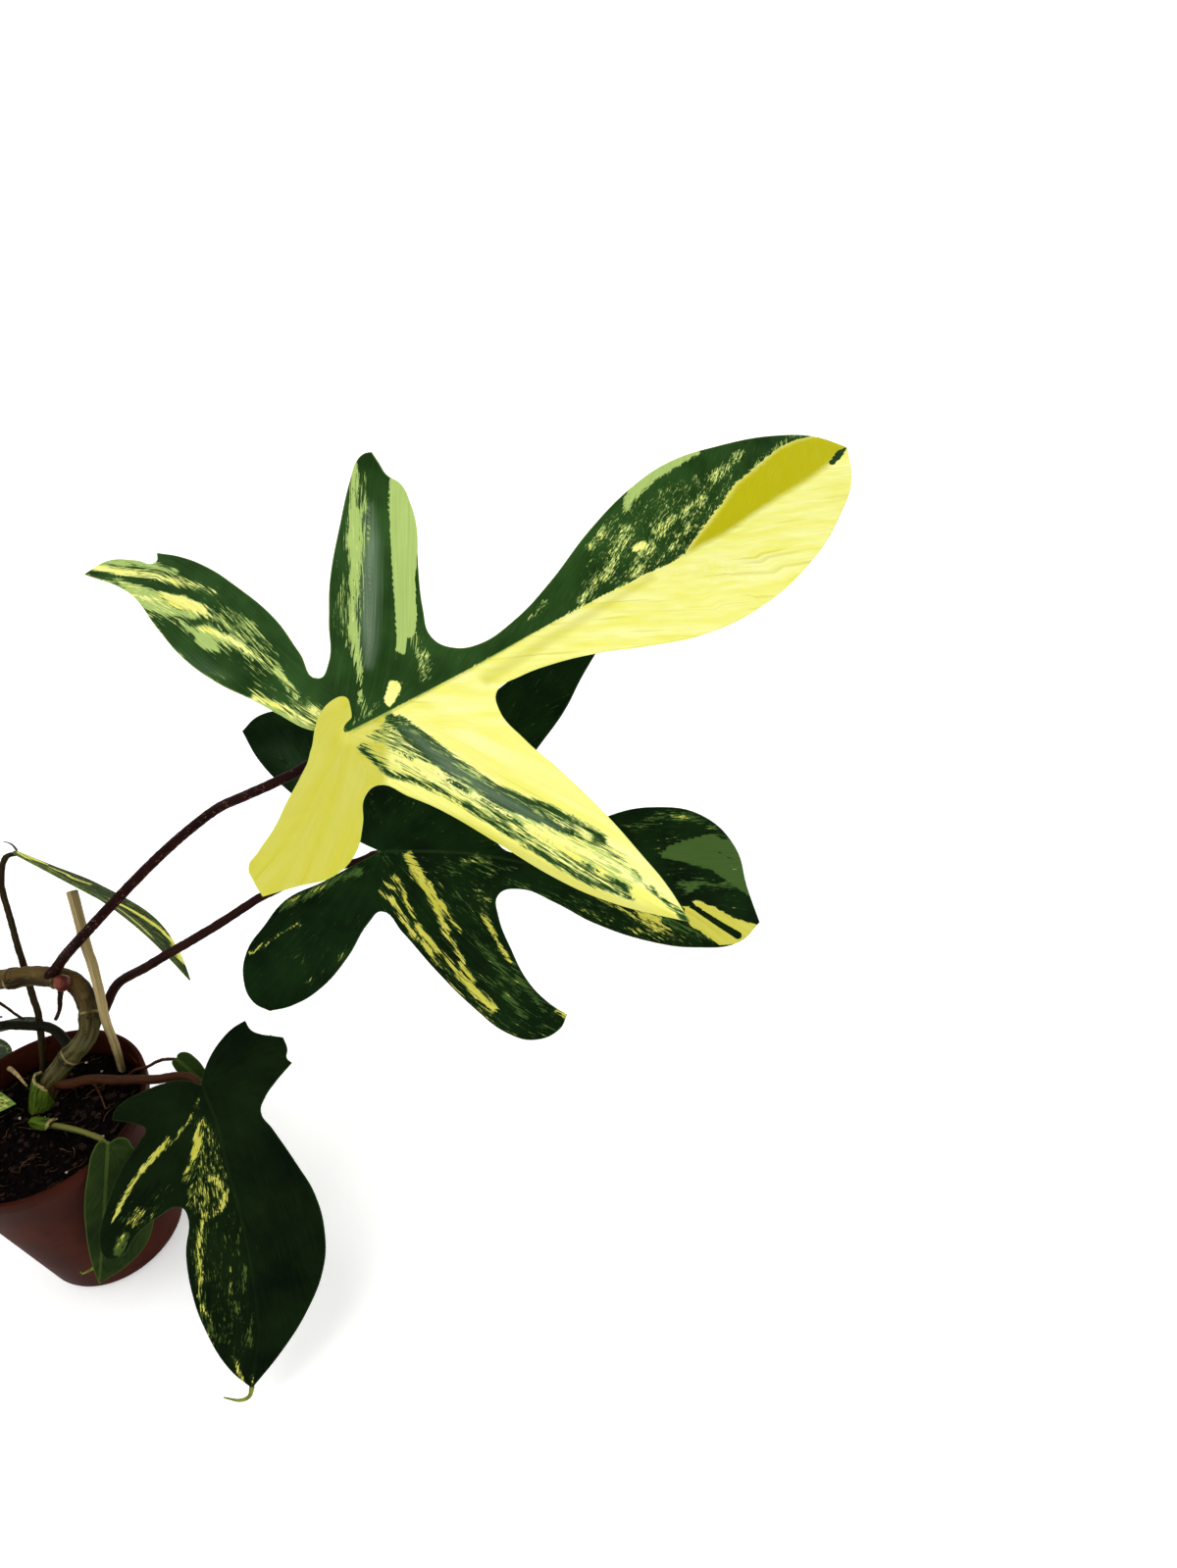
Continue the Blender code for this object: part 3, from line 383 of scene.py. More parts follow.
STREAKS_LOW = [
    ([(-1, 14), (6, 20), (18, 30), (33, 40), (45, 51)], (2.4, 0.9)),
    ([(22, 10), (33, 20), (40, 26)], (1.1, 0.7)),
    ([(11, 9), (14, 14), (23, 18), (29, 23)], (1.2, 0.7)),
    ([(33, 25), (43, 38), (54, 52), (64, 70)], (1.5, 2.4)),
    ([(40, 29), (49, 39), (57, 52), (66, 65)], (0.9, 0.7)),
    ([(19, 34), (25, 40), (31, 47)], (1.0, 0.6)),
    ([(11, 27), (18, 32), (22, 38)], (0.9, 0.6)),
    ([(20, 56), (32, 66), (40, 74)], (1.3, 0.7)),
    ([(47, 50), (53, 58)], (0.8, 0.7)),
    ([(19, 3), (24, 11)], (0.9, 0.7)),
    ([(15, 5), (17, 10)], (0.7, 0.6)),
]
PATTERN_LOW = {
    "pale": (PLAIN, [
        (-0.9, [(-30, 60), (-50, 130), (-30, 180), (0, 190), (20, 160), (5, 70), (-10, 60)]),
        (-0.8, FLECKED_LOBE),
        (-0.45, [(8, 100), (10, 150), (18, 160), (18, 138), (12, 96)]),
        (-0.6, MARGIN_BAND, 3.0),
        (CRISP, BRIGHT_TIP),
        (1.0, [(4, 129), (6, 140), (11, 143), (10, 137), (7, 130)]),
        (0.0, [(2, 111), (8, 130), (11, 146)], 1.4),
        (-CRISP, [(-5, 149), (-1, 158), (4, 169), (8, 179)], (1.0, 1.7)),
        *[(0.7, line, half) for line, half in STREAKS_LOW],
        (-0.1, VEIN_FLECKS, 1.6),
        (-0.3, [(8, 51), (15, 56), (20, 58)], 2.6),
        (-0.45, [(47, 38), (56, 48), (67, 64), (73, 84)], 3.0),
        (0.3, [(43, -35), (51, -45), (63, -58)], 1.0),
        (-0.45, [(36, -1), (47, -6), (60, -14), (72, -27)], 2.4),
        (-0.2, [(14, -12), (24, -28), (33, -42)], 1.6),
        (0.2, [(57, 102), (60, 106)], 1.4),
    ]),
    "gold": (0.25, [(0.8, [(26, -30), (33, -42)], 3.0)]),
    "lime": (-0.8, [
        (-0.5, FLECKED_LOBE),
        (-0.3, [(0, 60), (6, 165), (18, 160), (18, 138), (8, 70)]),
        (CRISP, LIME_CORNER),
        (-0.6, [(-31, 160), (-27, 172)], 1.2),
        (0.6, [(-12, 148), (-13, 155), (-10, 152)], 1.8),
        (0.0, [(-15, 154), (-15, 171)], 2.0),
        (-0.1, MARGIN_BAND, 2.6),
        (0.5, VEIN_FLECKS, 1.8),
        (0.2, [(-3, 33), (3, 38)], 1.2),
        (0.2, [(-3, 59), (-4, 69)], 1.2),
        (-0.1, [(29, 50), (41, 67), (50, 78)], 1.5),
        (0.1, [(56, 75), (62, 84), (65, 96)], 1.5),
        (0.1, [(6, 144), (12, 168)], 1.8),
        (0.3, [(12, -10), (24, -28), (37, -46)], 2.6),
        (0.2, [(40, 74), (50, 84), (58, 95)], 1.2),
    ]),
    # Painted sheen: a faint reflection painted grey over the whole leaf, stronger on the two left lobes.
    "painted_sheen": (0.1, [
        (0.55, [(-12, -20), (-24, -50), (-38, -74), (-50, -60), (-34, -30)]),
        (0.4, [(-8, 8), (-26, 22), (-40, 36), (-24, 14)]),
    ]),
}
MIDRIB_HANGING = [(0, 0), (-4, 18), (-5.5, 38), (-8, 62), (-9, 83), (-8.5, 99), (-7.5, 114), (-3.5, 126),
                  (0, 137)]
FLECKED_HEART = [(2, 10), (-3, 22), (-6, 42), (-7, 54), (4, 60), (14, 57), (15, 41), (10, 31)]
STREAKS_HANGING = [
    ([(19, 21), (30, 30), (40, 39), (48, 51)], (1.7, 0.9)),
    ([(2, 6), (8, 15), (15, 21), (20, 25)], (0.8, 0.5)),
    ([(3, 17), (6, 25), (9, 33), (14, 40)], (1.4, 0.8)),
    ([(0, 44), (-3, 51), (-1, 57), (4, 60)], (1.2, 1.2)),
    ([(7, 59), (10, 64), (12, 73), (13, 84), (15, 92)], (1.3, 1.0)),
    ([(15, 96), (12, 104)], (1.0, 0.8)),
    ([(16, 105), (13, 114)], (1.0, 0.8)),
    ([(5, 122), (4, 130), (2, 139)], (0.8, 1.0)),
]
PATTERN_HANGING = {
    "pale": (PLAIN, [
        (-0.35, FLECKED_HEART),
        (-0.85, [(0, 60), (4, 130), (14, 110), (18, 70)]),
        (-0.55, [(15, 42), (25, 41), (40, 47), (48, 58), (30, 56)]),
        *[(0.25, line, half) for line, half in STREAKS_HANGING],
        (0.6, [(22, 24), (34, 33), (46, 48)], (1.2, 0.6)),
        (0.7, [(6, 26), (8, 31)], 1.5),
        (-0.1, [(-0.5, 83), (1, 90), (2, 95)], 1.0),
        (-0.1, [(-1, 132), (0, 138)], 1.0),
        (-0.2, [(34, 49), (41, 55), (47, 62)], 1.6),
    ]),
    "gold": (0.15, []),
    "lime": (PLAIN, [
        (-0.15, FLECKED_HEART),
        (-0.5, [(-8, 60), (-4, 130), (14, 110), (18, 62)]),
        (-0.55, [(15, 40), (25, 40), (46, 46), (50, 60), (30, 56)]),
        (0.0, [(10, 64), (13, 79), (15, 95), (13, 111)], 2.4),
        (0.0, [(-7, 86), (-4, 94)], 1.4),
        (0.0, [(-7, 68), (-6, 73)], 1.2),
        (0.0, [(-6, 106), (-3, 118)], 1.3),
        (0.3, [(43, 59), (47, 64)], 3.0),
    ]),
    "painted_sheen": (0.05, []),
}
PATTERN_SIDE = {
    "pale": (-0.95, [
        (SOLID, [(0, 0), (-4, 2), (-12, 8), (-12, 13), (-6, 12), (0, 9)]),
        (SOLID, [(2, 0), (8, 5), (12, 12), (4, 12)]),
        (0.8, [(-6, 17), (-12, 24)], 1.7),
        (0.6, [(-8, 27), (-17, 34)], 2.2),
        (0.9, [(-8, 54), (-12, 66), (-17, 78), (-16, 90), (-8, 99)], (2.0, 4.0)),
        (-0.9, [(-19, 60), (-21, 72), (-19, 84)], 1.6),
        (0.2, [(5, 20), (12, 45)], 2.5),
        (0.4, [(8, 58), (10, 86)], 3.0),
    ]),
    "gold": (0.35, []),
    "lime": (-0.2, []),
    "painted_sheen": (0.0, []),
}
PATTERN_PLAIN = {"pale": (PLAIN, []), "gold": (0.0, []), "lime": (PLAIN, []), "painted_sheen": (0.0, [])}
PATTERN_SOIL = {"pale": (PLAIN, [(0.1, [(0, 4), (0, 30)], 4.5)]), "gold": (0.4, []), "lime": (0.3, []),
                "painted_sheen": (0.0, [])}

# The main veins of each outline: how far each one's streaks splay away from it, and are drawn out
VEINS_HIGH = [
    (MIDRIB_HIGH, 0.6, 1.0),
    ([(0, 0), (-20, -8), (-46, -16), (-70, -21), (-96, -26), (-121, -36), (-145, -62)], 0.04, 2.8),
    ([(0, 0), (-15, 14), (-34, 29), (-54, 41), (-72, 51), (-92, 63), (-110, 76)], 0.02, 2.8),
    ([(0, 0), (20, 14), (45, 27), (70, 39), (95, 50), (120, 61), (147, 73)], 0.02, 2.8),
    ([(0, 0), (12, -14), (26, -32), (38, -50), (44, -64)], 0.1, 2.0),
]
VEINS_LOW = [
    (MIDRIB_LOW, 0.3, 1.6),
    ([(0, 0), (25, -14), (50, -27), (72, -38), (90, -47)], 0.15, 2.2),
    ([(0, 0), (14, 16), (30, 36), (44, 58), (54, 82), (60, 106)], 0.05, 2.4),
    ([(0, 0), (-20, 20), (-50, 40), (-80, 60), (-112, 90)], 0.25, 1.6),
    ([(0, 0), (-14, -20), (-30, -48), (-42, -70), (-47, -83)], 0.25, 1.6),
]
VEINS_HANGING = [
    (MIDRIB_HANGING, 0.12, 1.1),
    ([(0, 0), (-14, -8), (-28, -14), (-40, -16)], 0.2, 1.2),
    ([(0, 0), (15, 2), (30, 4), (43, 5)], 0.2, 1.2),
    ([(0, 0), (8, 18), (18, 32), (30, 44), (42, 56), (51, 66)], 0.05, 1.2),
]
VEINS_HEART = [([(0, 0), (0, 82)], 0.5, 1.5), ([(0, 0), (-9, 14), (-15, 34), (-15, 56), (-8, 76)], 0.3, 1.5)]
VEINS_SIDE = [([(0, 0), (0, 112)], 0.3, 1.6)]
VEINS_YOUNG = [([(0, 0), (0, 22)], 0.5, 1.0)]
VEINS_SOIL = [([(0, 0), (0, 38)], 0.3, 1.0)]

# What each leaf's sheet shows: its pattern, its veins, its look, the side of the squares that it is
# cut into, and the cuts across each of them
DRESS = {
    "leaf_high": (PATTERN_HIGH, VEINS_HIGH, "bright", 6.0, 3),
    "leaf_low": (PATTERN_LOW, VEINS_LOW, "deep", 6.0, 3),
    "leaf_hanging": (PATTERN_HANGING, VEINS_HANGING, "shaded", 4.5, 3),
    "leaf_heart": (PATTERN_PLAIN, VEINS_HEART, "plain", 4.0, 1),
    "leaf_side": (PATTERN_SIDE, VEINS_SIDE, "olive", 4.0, 1),
    "leaf_young": (PATTERN_PLAIN, VEINS_YOUNG, "plain", 2.5, 1),
    "leaf_left": (PATTERN_LOW, VEINS_LOW, "deep", 7.0, 3),
    "leaf_soil": (PATTERN_SOIL, VEINS_SOIL, "plain", 3.0, 1),
    "leaf_back": (PATTERN_HANGING, VEINS_HANGING, "shaded", 5.0, 3),
}

# The colours of each look, as they are seen, and its habits: how plainly the midrib shows, the shine
# of the upper face and how grey the underside is. The top leaf's look is seen in full light; "deep" is
# partly a darker leaf and partly painted shade from the leaf above it, and the look of the hanging and
# back leaves is the same leaf painted darker for the shade low down by the pot. "grey" is the colour
# that the painted sheen and the underside turn to.
TONES = ("deep", "fresh", "grey", "pale", "warm", "gold", "lime", "vein")
LOOKS = {
    "bright": ((18, 46, 6), (46, 80, 32), (122, 144, 116), (248, 248, 164), (238, 236, 104), (184, 178, 10),
               (176, 202, 114), (187, 209, 100)),
    "deep": ((5, 18, 5), (18, 40, 12), (48, 72, 44), (220, 216, 100), (198, 194, 68), (176, 168, 44),
             (66, 92, 42), (78, 100, 58)),
    "shaded": ((4, 14, 4), (17, 31, 10), (46, 66, 38), (208, 206, 100), (184, 182, 64), (160, 154, 40),
              (72, 92, 38), (60, 80, 40)),
    "plain": ((16, 30, 7), (42, 60, 20), (84, 104, 64), (214, 220, 130), (190, 200, 90), (168, 160, 60),
              (120, 150, 70), (104, 124, 56)),
    "olive": ((8, 18, 5), (28, 44, 14), (56, 74, 38), (240, 240, 140), (218, 218, 84), (190, 184, 44),
              (88, 112, 38), (110, 130, 56)),
}
HABITS = {"bright": (0.6, 0.12, 0.45), "deep": (0.1, 0.05, 0.45), "shaded": (0.07, 0.045, 0.45),
          "plain": (0.2, 0.05, 0.45), "olive": (0.3, 0.01, 0.2)}
# Painted glint: the whitish colour of the specks that the painted sheen puts on the yellow.
PAINTED_GLINT = (252, 250, 214)
# The grain of a leaf's pattern: its size across and along the veins, its detail and its roughness
GRAINS = {
    "streak": (0.65, 4.2, 3.0, 0.65),
    "fleck": (0.28, 1.6, 3.0, 0.65),
    "hair": (0.3, 7.0, 2.0, 0.55),
    "wash": (3.0, 16.0, 2.0, 0.55),
    "patch": (3.0, 7.0, 2.0, 0.55),
    "crease_shade": (1.4, 30.0, 1.0, 0.55),
}
SIDE_VEIN_GAP = 9.0
SIDE_VEIN_SLANT = 0.75
VEIN_ROOM = 1000.0


# Shape tools

def add_object(name, data, surface=None):
    item = bpy.data.objects.new(name, data)
    bpy.context.scene.collection.objects.link(item)
    if surface:
        data.materials.clear()
        data.materials.append(surface)
    return item


def add_solid(name, work, surface=None):
    """An object made of the shape that is under work."""
    data = bpy.data.meshes.new(name)
    work.to_mesh(data)
    work.free()
    return add_object(name, data, surface)


def as_mesh(item, surface=None, weld=0.01):
    """Replaces a curve, or an object with modifiers, by the plain welded mesh object that it shows."""
    name = item.name
    ready = item.evaluated_get(bpy.context.evaluated_depsgraph_get())
    data = bpy.data.meshes.new_from_object(ready)
    remove(item)
    work = bmesh.new()
    work.from_mesh(data)
    bmesh.ops.remove_doubles(work, verts=work.verts, dist=weld * MM)
    work.to_mesh(data)
    work.free()
    data.name = name
    return add_object(name, data, surface)


def remove(*items):
    for item in items:
        bpy.data.objects.remove(item, do_unlink=True)


def cut_out(item, *cutters):
    """Takes the cutters' shapes out of the item."""
    for cutter in cutters:
        step = item.modifiers.new("cut", "BOOLEAN")
        step.operation = "DIFFERENCE"
        step.solver = "EXACT"
        step.object = cutter


def places_of(data):
    """A mesh's vertices as rows of x, y and z."""
    points = np.empty(len(data.vertices) * 3)
    data.vertices.foreach_get("co", points)
    return points.reshape(-1, 3)


def keep_values(data, name, values):
    """Stores one number for each vertex, for a surface to read."""
    data.attributes.new(name, "FLOAT", "POINT").data.foreach_set("value", values)


def place_piece(item, slot, *nodes, sharp=35):
    """The piece rides on the plant and stands for its CAD nodes; the slot is not used."""
    item.data.shade_smooth()
    item.data.set_sharp_from_angle(angle=radians(sharp))
    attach(item, BODY)
    if nodes:
        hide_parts(*nodes)
    return item


def smooth_step(value, low, high):
    t = min(max((value - low) / (high - low), 0.0), 1.0)
    return t * t * (3 - 2 * t)


def smooth_route(points, step):
    """Points about a step apart on the smooth curve through the given ones."""
    knots = [Vector(p) for p in points]
    ends = [2 * knots[0] - knots[1], *knots, 2 * knots[-1] - knots[-2]]
    route = []
    for a, b, c, d in zip(ends, ends[1:], ends[2:], ends[3:]):
        pieces = max(1, round((c - b).length / step))
        for i in range(pieces):
            t = i / pieces
            bend = (2 * a - 5 * b + 4 * c - d) * t * t + (3 * b - a - 3 * c + d) * t * t * t
            route.append(b + 0.5 * ((c - a) * t + bend))
    return [*route, knots[-1]]


def add_line(data, route, radii):
    """One open line of a curve, with its half thickness at each point."""
    line = data.splines.new("POLY")
    line.points.add(len(route) - 1)
    for place, radius, point in zip(route, radii, line.points):
        point.co = (*(place * MM), 1)
        point.radius = radius


def round_curve(name, resolution):
    data = bpy.data.curves.new(name, "CURVE")
    data.dimensions = "3D"
    data.bevel_depth = MM
    data.bevel_resolution = resolution
    data.use_fill_caps = True
    return data


def tube(name, points, start_r, end_r, surface, swell=None, step=2.0, resolution=6):
    """A round stalk along a route, whose skin attribute unrolls it: across, across, along in mm."""
    route = smooth_route(points, step)
    ways = [i / (len(route) - 1) for i in range(len(route))]
    radii = [(start_r + (end_r - start_r) * way) * (swell(way) if swell else 1) for way in ways]
    data = round_curve(name, resolution)
    add_line(data, route, radii)
    item = as_mesh(add_object(name, data), surface)
    mark_skin(item.data, route)
    return item


def mark_skin(data, route):
    """Unrolls a mesh along its route, so that grain and streaks follow it round the bends."""
    places = np.array([tuple(p) for p in route])
    ahead = np.gradient(places, axis=0)
    ahead /= np.linalg.norm(ahead, axis=1)[:, None]
    across = np.cross(ahead[0], (0.3, 0.9, 0.2))
    sides = []
    for direction in ahead:
        across = across - direction * across.dot(direction)
        across /= np.linalg.norm(across)
        sides.append(across)
    sides = np.array(sides)
    overs = np.cross(ahead, sides)
    passed = np.concatenate(([0], np.cumsum(np.linalg.norm(np.diff(places, axis=0), axis=1))))
    points = places_of(data) / MM
    nearest = np.linalg.norm(points[:, None] - places, axis=2).argmin(1)
    away = points - places[nearest]
    skin = np.stack(((away * sides[nearest]).sum(1), (away * overs[nearest]).sum(1),
                     passed[nearest] + (away * ahead[nearest]).sum(1)), axis=1)
    layer = data.attributes.get("skin") or data.attributes.new("skin", "FLOAT_VECTOR", "POINT")
    layer.data.foreach_set("vector", skin.ravel())


def roughen(data, height, size, seed=0.0):
    """Moves the surface in and out by soft noise, in millimetres."""
    shift = Vector((seed, seed * 1.7, -seed))
    normals = [v.normal.copy() for v in data.vertices]
    for v, normal in zip(data.vertices, normals):
        v.co += normal * noise.noise(v.co / (size * MM) + shift) * height * MM


# How a leaf is shaped and marked

def leaf_frame(shape):
    """The leaf's joint, and its own x, y (midrib) and z (upper face) directions."""
    joint, normal, ahead = (Vector(v) for v in shape["rest"])
    up = normal.normalized()
    along = ahead - joint
    along = (along - up * along.dot(up)).normalized()
    return joint, along.cross(up), along, up


def leaf_point(x, y, shape):
    """Where a point of the flat leaf goes in the leaf's own frame: x, y and height."""
    size = shape.get("scale", 1.0)
    r, phi = hypot(x, y), atan2(x, y) * 180 / pi
    height = 0.0
    if "ear" in shape:
        ear = shape["ear"]
        if phi < ear["cut"]:
            phi += 360
        folded = smooth_step(phi, ear["from"], ear["to"])
        height += ear["lift"] * folded * smooth_step(r, 2, 18)
        height -= ear["sink"] * smooth_step(-phi, 100, 138) * smooth_step(r, 2, 20)
        phi += ear["turn"] * folded * smooth_step(r, 0, 7)
    slope, shut, open_ = shape["fold"]
    sides, back, tip, tip_from = shape["droop"]
    lift, count, phase = shape["wave"]
    spread = smooth_step(y, shut, open_)
    rounding = 5.0
    height += slope * (hypot(x, rounding) - rounding) * spread
    height -= sides * (x / 100) ** 2 * (1 - 0.6 * spread)
    height -= back * (min(y, 0) / 100) ** 2
    height -= tip * (max(y - tip_from, 0) / 100) ** 2
    height += lift * (r / 100) ** 1.5 * sin(count * radians(phi) + phase)
    turned = radians(phi)
    return Vector((r * sin(turned) * size, r * cos(turned) * size, height * size))


def in_plant(x, y, shape, sink=0.0):
    """A point of the flat leaf in the plant, at a depth below the middle of the blade."""
    joint, across, along, up = leaf_frame(shape)
    side = -1 if shape.get("mirror") else 1
    bent = leaf_point(x, y, shape)
    return joint + across * bent.x * side + along * bent.y + up * (bent.z - sink)


def flat_leaf(name, runs, detail):
    """The leaf's outline as a filled 2D curve: sharp at each run's ends, smooth between them."""
    data = bpy.data.curves.new(name, "CURVE")
    data.dimensions = "2D"
    data.fill_mode = "BOTH"
    data.resolution_u = detail
    line = data.splines.new("BEZIER")
    places = [(point, at == 0) for run in runs for at, point in enumerate(run[:-1])]
    line.bezier_points.add(len(places) - 1)
    line.use_cyclic_u = True
    for (place, sharp), point in zip(places, line.bezier_points):
        point.co = (*place, 0)
        point.handle_left_type = point.handle_right_type = "VECTOR" if sharp else "AUTO"
    return as_mesh(add_object(name, data))


def beside(points, line):
    """For each point: its distance to the right of a line, and how far along the line it lies."""
    line = np.array(line, float)
    starts, steps = line[:-1], np.diff(line, axis=0)
    lengths = np.hypot(*steps.T)
    passed = np.concatenate(([0], np.cumsum(lengths)[:-1]))
    rights, alongs = [], []
    for some in np.array_split(points, max(1, len(points) // 3000)):
        away = some[:, None] - starts
        way = np.clip((away * steps).sum(2) / lengths ** 2, 0, 1)
        gap = away - way[..., None] * steps
        distance = np.hypot(gap[..., 0], gap[..., 1])
        best = distance.argmin(1)
        row = np.arange(len(some))
        turn = steps[best, 1] * away[row, best, 0] - steps[best, 0] * away[row, best, 1]
        rights.append(np.where(turn < 0, -1, 1) * distance[row, best])
        alongs.append((passed + way * lengths)[row, best])
    return np.concatenate(rights), np.concatenate(alongs)


def depth_in(points, corners):
    """How far inside a closed outline each point lies; outside is negative."""
    distance = abs(beside(points, [*corners, corners[0]])[0])
    within = np.zeros(len(points), bool)
    for (ax, ay), (bx, by) in zip(corners, [*corners[1:], corners[0]]):
        if ay != by:
            crosses = (ay > points[:, 1]) != (by > points[:, 1])
            within ^= crosses & (points[:, 0] < ax + (points[:, 1] - ay) * (bx - ax) / (by - ay))
    return np.where(within, distance, -distance)


def drawn(points, ground, marks, blur):
    """The level that a leaf's marks give to each point of the flat leaf; streaky ones fade out."""
    level = np.full(len(points), float(ground))
    for value, line, *width in marks:
        softness = EDGE_BLUR if abs(value) >= SOLID else blur
        if width:
            right, along = beside(points, line)
            start, end = width[0] if isinstance(width[0], tuple) else (width[0], width[0])
            reach = start + (end - start) * along / max(along.max(), 1) - abs(right)
            softness = min(blur, 0.8 + 1.2 * max(start, end))
        else:
            reach = depth_in(points, line)
        if value == CRISP:
            softness = CRISP_BLUR
            reach = reach - CRISP_INSET
        share = np.clip(0.5 + reach / softness, 0, 1)
        level += (value - level) * share
    return level


def cut_leaf(name, runs, step, cuts):
    """The flat leaf as small triangles, all facing up, and the corners of its outline."""
    flat = flat_leaf(name + "_flat", runs, 6)
    work = bmesh.new()
    work.from_mesh(flat.data)
    remove(flat)
    bmesh.ops.dissolve_faces(work, faces=work.faces[:])
    outline = [tuple(v.co.xy) for v in max(work.faces, key=lambda face: face.calc_area()).verts]
    for axis in range(2):
        reach = [v.co[axis] for v in work.verts]
        direction = Vector((axis == 0, axis == 1, 0))
        for i in range(int(min(reach) // step), int(max(reach) // step) + 1):
            whole = work.verts[:] + work.edges[:] + work.faces[:]
            bmesh.ops.bisect_plane(work, geom=whole, dist=step * 0.06, plane_co=direction * step * i,
                                   plane_no=direction)
    bmesh.ops.triangulate(work, faces=work.faces[:])
    bmesh.ops.subdivide_edges(work, edges=work.edges[:], cuts=cuts, use_grid_fill=True)
    bmesh.ops.triangulate(work, faces=[face for face in work.faces if len(face.verts) > 3])
    work.normal_update()
    bmesh.ops.reverse_faces(work, faces=[face for face in work.faces if face.normal.z < 0])
    return work, outline


def mark_leaf(data, outline, pattern, veins):
    """Stores the leaf's pattern at its vertices, and where each face lies along its own main vein."""
    points = places_of(data)[:, :2]
    for name, (ground, marks) in pattern.items():
        keep_values(data, name, drawn(points, ground, marks, BLUR[name]))
    keep_values(data, "edge", depth_in(points, outline))

    corners = np.empty(len(data.polygons) * 3, int)
    data.polygons.foreach_get("vertices", corners)
    corners = corners.reshape(-1, 3)
    placed = [beside(points, vein) for vein, _, _ in veins]
    centres = np.stack([abs(right)[corners].mean(1) for right, _ in placed])
    own = np.repeat(centres.argmin(0), 3)
    flat = corners.ravel()
    right = np.stack([p[0] for p in placed])[own, flat]
    along = np.stack([p[1] for p in placed])[own, flat]
    splay, drawn_out = np.array([habit for _, *habit in veins])[own].T
    streak = (along + splay * abs(right)) / drawn_out
    for name, across, onward in (("lobe", right, along), ("flow", abs(right) - splay * along, streak)):
        layer = np.stack((across, onward + own * VEIN_ROOM), axis=1) / 100
        data.uv_layers.new(name=name).data.foreach_set("uv", layer.ravel())


def leaf_sheet(node, shape, pattern, veins, look, cell, cuts):
    """A leaf's blade: patterned while flat, bent into shape, given its thickness and its ribs."""
    name = node.replace("leaf_", "blade_")
    work, outline = cut_leaf(name, shape["outline"], cell, cuts)
    item = add_solid(name, work)
    mark_leaf(item.data, outline, pattern, veins)
    for v in item.data.vertices:
        v.co = in_plant(v.co.x, v.co.y, shape) * MM
    if shape.get("mirror"):
        item.data.flip_normals()
    for surface in leaf_surfaces(look):
        item.data.materials.append(surface)
    wall = item.modifiers.new("thickness", "SOLIDIFY")
    wall.thickness = BLADE * MM
    wall.offset = 0
    wall.material_offset = 1
    wall.material_offset_rim = 0
    item = as_mesh(item, weld=0.0005)
    join(item, leaf_ribs(name + "_ribs", shape, veins, rib_surface(look)))
    return place_piece(item, "leaf_plain" if look == "plain" else "leaf_variegated", node, sharp=60)


def leaf_ribs(name, shape, veins, surface):
    """The raised veins under the blade, thick at the joint and fading out before the tips."""
    size = shape.get("scale", 1.0)
    data = round_curve(name, 3)
    for vein, _, _ in veins:
        line = [(*p, 0) for p in vein]
        flat = smooth_route(line, 4.0)
        length = (Vector(line[-1]) - Vector(line[0])).length
        thick = min(1.5, 0.35 + length * 0.006)
        flat = flat[:max(3, int(len(flat) * 0.93))]
        radii = [max(0.12, thick * (1 - i / len(flat)) ** 0.8) * size for i in range(len(flat))]
        sunk = [radius * 0.7 + BLADE / 2 * 0.6 for radius in radii]
        add_line(data, [in_plant(p.x, p.y, shape, s) for p, s in zip(flat, sunk)], radii)
    return as_mesh(add_object(name, data), surface)


def join(item, *others):
    """Adds the other objects' meshes to the item's, with their materials and attributes."""
    chosen = [item, *others]
    with bpy.context.temp_override(active_object=item, object=item, selected_editable_objects=chosen,
                                   selected_objects=chosen):
        bpy.ops.object.join()


# Surfaces

class Value:
    """A socket of a surface's nodes that sums can be written with."""

    def __init__(self, surface, socket):
        self.surface = surface
        self.socket = socket

    def __add__(self, other):
        return self.surface.maths("ADD", self, other)

    def __sub__(self, other):
        return self.surface.maths("SUBTRACT", self, other)

    def __rsub__(self, other):
        return self.surface.maths("SUBTRACT", other, self)

    def __mul__(self, other):
        return self.surface.maths("MULTIPLY", self, other)

    def __truediv__(self, other):
        return self.surface.maths("DIVIDE", self, other)

    def __abs__(self):
        return self.surface.maths("ABSOLUTE", self)

    __radd__ = __add__
    __rmul__ = __mul__

    def fraction(self):
        return self.surface.maths("FRACT", self)

    def rest(self, size):
        """What is left over after whole steps of a size."""
        return self.surface.maths("MODULO", self, size)

    def most(self, other):
        return self.surface.maths("MAXIMUM", self, other)

    def rise(self, low, high):
        """0 below low, 1 above high, and smooth between; it falls where low is the larger."""
        sockets = {"Value": self, "From Min": min(low, high), "From Max": max(low, high)}
        up = self.surface.node("ShaderNodeMapRange", {"interpolation_type": "SMOOTHSTEP"}, sockets)
        return up if low < high else 1 - up


def tone(colour):
    """A colour of 0 to 255 as it is seen, in a shader's linear light; a Value stays as it is."""
    if isinstance(colour, Value):
        return colour
    parts = [part / 255 for part in colour]
    return (*[p / 12.92 if p <= 0.04045 else ((p + 0.055) / 1.055) ** 2.4 for p in parts], 1.0)


